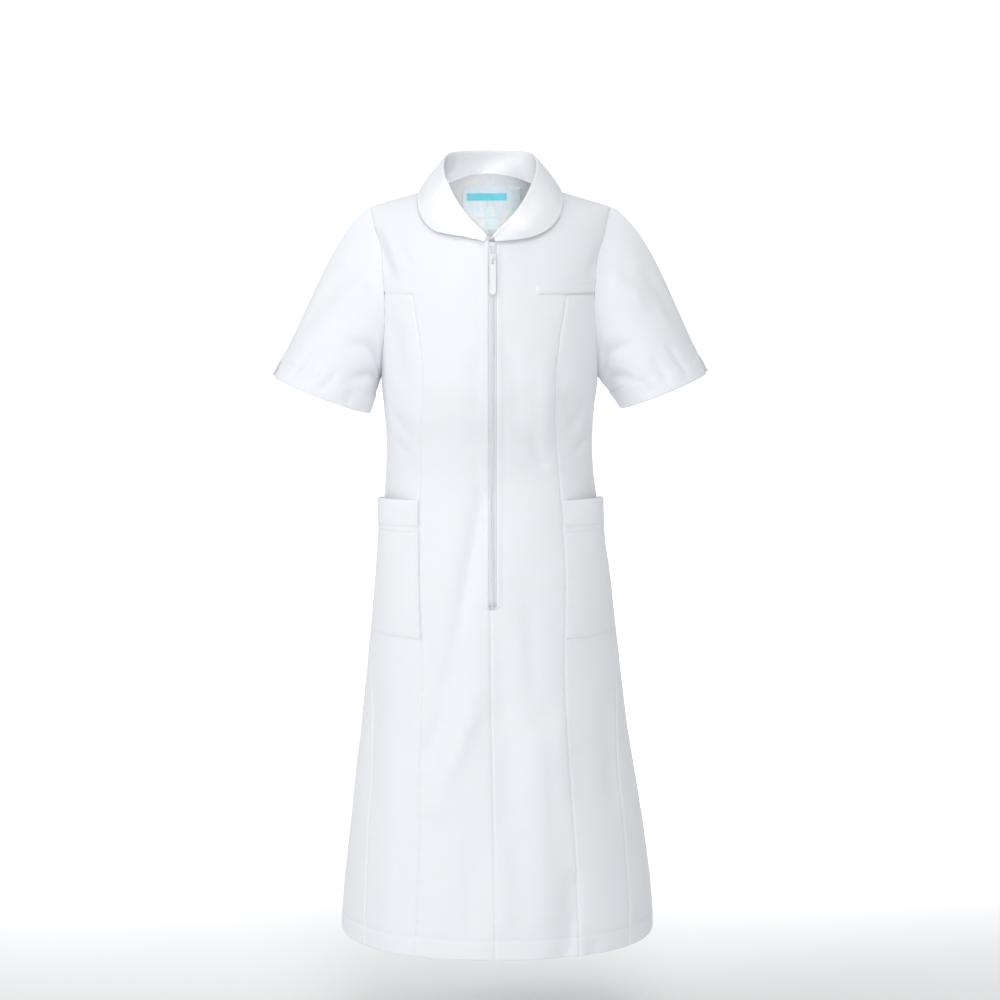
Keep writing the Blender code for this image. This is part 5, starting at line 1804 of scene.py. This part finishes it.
class DressStageSettings(bpy.types.PropertyGroup):
    """Floor, lights and camera."""
    floor_colour: FloatVectorProperty(name="Floor colour", description="Colour of the floor",
                                      default=(0.90, 0.90, 0.90, 1.0), **COLOUR)
    floor_drop: FloatProperty(name="Floor drop", description="How far the floor lies below the hem",
                              default=0.16, min=0.0, unit="LENGTH")
    key_power: FloatProperty(name="Key light", description="Power of the large side light",
                             default=38.5, min=0.0, unit="POWER")
    fill_power: FloatProperty(name="Fill light", description="Power of the light opposite",
                              default=28.5, min=0.0, unit="POWER")
    top_power: FloatProperty(name="Top light", description="Power of the light above",
                             default=14.0, min=0.0, unit="POWER")
    neck_power: FloatProperty(name="Neck light", description="Power of the light on the neck",
                              default=0.019, min=0.0, unit="POWER")
    backdrop_power: FloatProperty(name="Backdrop light", description="Power on the backdrop",
                                  default=250.0, min=0.0, unit="POWER")
    ambient: FloatProperty(name="Ambient", description="Strength of the even light all round",
                           default=0.50, min=0.0)
    lens: FloatProperty(name="Lens", description="Focal length of the camera in millimetres",
                        default=105.0, min=10.0)


# --- operators -------------------------------------------------------------
def dimmer(colour, share):
    """The colour, brought down to a share of itself."""
    return tuple(channel * share for channel in colour[:3]) + (1.0,)


def cloth_finish(context):
    """White twill of the dress, made once."""
    look = context.scene.dress_cloth
    return (bpy.data.materials.get("white_twill")
            or twill_cloth("white_twill", tuple(look.colour), tuple(look.shade), look.threads,
                           look.sheen))


def dress_piece(made, slot, *nodes, body="dress"):
    """Fix a finished piece to its body, and hide the solids it stands for; its slot is not used."""
    if nodes:
        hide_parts(*nodes)
    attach(made, body)


def sewn(made, node, slot="cloth"):
    """Fix a cloth piece in its solid's place."""
    dress_piece(made, slot, node)


class DRESS_OT_fronts(bpy.types.Operator):
    """Build the centre fronts and side fronts"""
    bl_idname = "dress.fronts"
    bl_label = "Fronts"

    def execute(self, context):
        finish = cloth_finish(context)
        for side in SIDES:
            word = side_word(side)
            sewn(front_centre(side, finish), "front_centre_" + word)
            sewn(sided_shell("front_side", side, finish, side_grid(side)), "front_side_" + word)
        return {"FINISHED"}


class DRESS_OT_back(bpy.types.Operator):
    """Build the two halves of the back"""
    bl_idname = "dress.back"
    bl_label = "Back"

    def execute(self, context):
        for side in SIDES:
            made = sided_shell("back", side, cloth_finish(context), back_grid(side))
            sewn(made, "back_" + side_word(side))
        return {"FINISHED"}


class DRESS_OT_sleeves(bpy.types.Operator):
    """Build the set-in sleeves"""
    bl_idname = "dress.sleeves"
    bl_label = "Sleeves"

    def execute(self, context):
        for side in SIDES:
            made = sided_shell("sleeve", side, cloth_finish(context), sleeve_grid(side))
            sewn(made, "sleeve_" + side_word(side))
        return {"FINISHED"}


class DRESS_OT_collar(bpy.types.Operator):
    """Build the roll collar"""
    bl_idname = "dress.collar"
    bl_label = "Collar"

    def execute(self, context):
        sewn(collar(cloth_finish(context)), "collar")
        return {"FINISHED"}


class DRESS_OT_pockets(bpy.types.Operator):
    """Build the side pockets and the welt of the chest pocket"""
    bl_idname = "dress.pockets"
    bl_label = "Pockets"

    def execute(self, context):
        finish = cloth_finish(context)
        for side in SIDES:
            made = sided_shell("side_pocket", side, finish, pocket_grid(side))
            sewn(made, "side_pocket_" + side_word(side))
        sewn(cloth_shell("chest_pocket_welt_cloth", [welt_grid()], WALL, finish),
             "chest_pocket_welt")
        return {"FINISHED"}


class DRESS_OT_zip(bpy.types.Operator):
    """Build the zip's tape, coil, slider and pull tab"""
    bl_idname = "dress.zip"
    bl_label = "Zip"

    def execute(self, context):
        look = context.scene.dress_zip
        tape_colour, coil_colour = tuple(look.tape_colour), tuple(look.coil_colour)
        pull_colour = tuple(look.pull_colour)
        weave = woven_tape("zip_tape_weave", tape_colour, dimmer(tape_colour, 0.86))
        sewn(zip_tape(weave), "zip_tape", "zip")
        dress_piece(zip_coil(nylon("coil_nylon", coil_colour, dimmer(coil_colour, 0.94))), "zip")
        metal = painted_metal("painted_slider", pull_colour, dimmer(pull_colour, 0.90))
        dress_piece(zip_slider(metal), "zip", "zip_slider")
        dress_piece(zip_pull(metal), "zip", "zip_pull", body="pull")
        return {"FINISHED"}


class DRESS_OT_labels(bpy.types.Operator):
    """Build the two labels inside the back neck"""
    bl_idname = "dress.labels"
    bl_label = "Labels"

    def execute(self, context):
        look = context.scene.dress_labels
        ground, band = tuple(look.ground), tuple(look.band)
        limits = (("Z", look.band_top, -1.0), ("Z", look.band_bottom, 1.0),
                  ("X", BAND_RIGHT_X, -1.0), ("X", BAND_LEFT_X, 1.0))
        banded = woven_label("banded_label", ground, dimmer(ground, 0.94), band, limits)
        plain = woven_label("plain_label", ground, dimmer(ground, 0.92))
        for place, finish, cut_size in ((NECK_LABEL, banded, NECK_LABEL_CUT),
                                        (SIZE_LABEL, plain, SIZE_LABEL_CUT)):
            sewn(label(place, finish), place[0], "label")
        return {"FINISHED"}


class DRESS_OT_stitching(bpy.types.Operator):
    """Sew the rows of top-stitching"""
    bl_idname = "dress.stitching"
    bl_label = "Stitching"

    def execute(self, context):
        look = context.scene.dress_stitches
        colour = tuple(look.colour)
        finish = thread("white_thread", colour, dimmer(colour, 0.93))
        for name, rows in all_stitch_rows():
            dress_piece(stitches(name, rows, finish, look.length, look.gap, look.radius), "cloth")
        return {"FINISHED"}


class DRESS_OT_stage(bpy.types.Operator):
    """Set up the floor, the soft lights and the camera"""
    bl_idname = "dress.stage"
    bl_label = "Stage"

    def execute(self, context):
        stage(context)
        return {"FINISHED"}


class DRESS_PT_panel(bpy.types.Panel):
    """Pieces of the dress and their settings."""
    bl_idname = "DRESS_PT_panel"
    bl_label = "Nurse Uniform Dress"
    bl_space_type = "VIEW_3D"
    bl_region_type = "UI"
    bl_category = "Dress"

    def draw(self, context):
        layout = self.layout
        for operator in PIECE_OPERATORS:
            layout.operator(operator.bl_idname)
        for owner, settings in SETTINGS:
            box = layout.box()
            box.label(text=settings.__doc__)
            group = getattr(context.scene, owner)
            for name in settings.__annotations__:
                box.prop(group, name)


PIECE_OPERATORS = (DRESS_OT_fronts, DRESS_OT_back, DRESS_OT_sleeves, DRESS_OT_collar,
                   DRESS_OT_pockets, DRESS_OT_zip, DRESS_OT_labels, DRESS_OT_stitching,
                   DRESS_OT_stage)
SETTINGS = (("dress_cloth", DressClothSettings), ("dress_stitches", DressStitchSettings),
            ("dress_zip", DressZipSettings), ("dress_labels", DressLabelSettings),
            ("dress_stage", DressStageSettings))


def register():
    """Register settings, operators and panel."""
    for owner, settings in SETTINGS:
        bpy.utils.register_class(settings)
        setattr(bpy.types.Scene, owner, PointerProperty(type=settings))
    for made in PIECE_OPERATORS + (DRESS_PT_panel,):
        bpy.utils.register_class(made)


def unregister():
    """Take everything back out."""
    for made in reversed(PIECE_OPERATORS + (DRESS_PT_panel,)):
        bpy.utils.unregister_class(made)
    for owner, settings in reversed(SETTINGS):
        delattr(bpy.types.Scene, owner)
        bpy.utils.unregister_class(settings)


def main():
    """Build the whole dress on its frame."""
    register()
    for operator in PIECE_OPERATORS:
        group, name = operator.bl_idname.split(".")
        getattr(getattr(bpy.ops, group), name)()


if __name__ == "__main__":
    main()
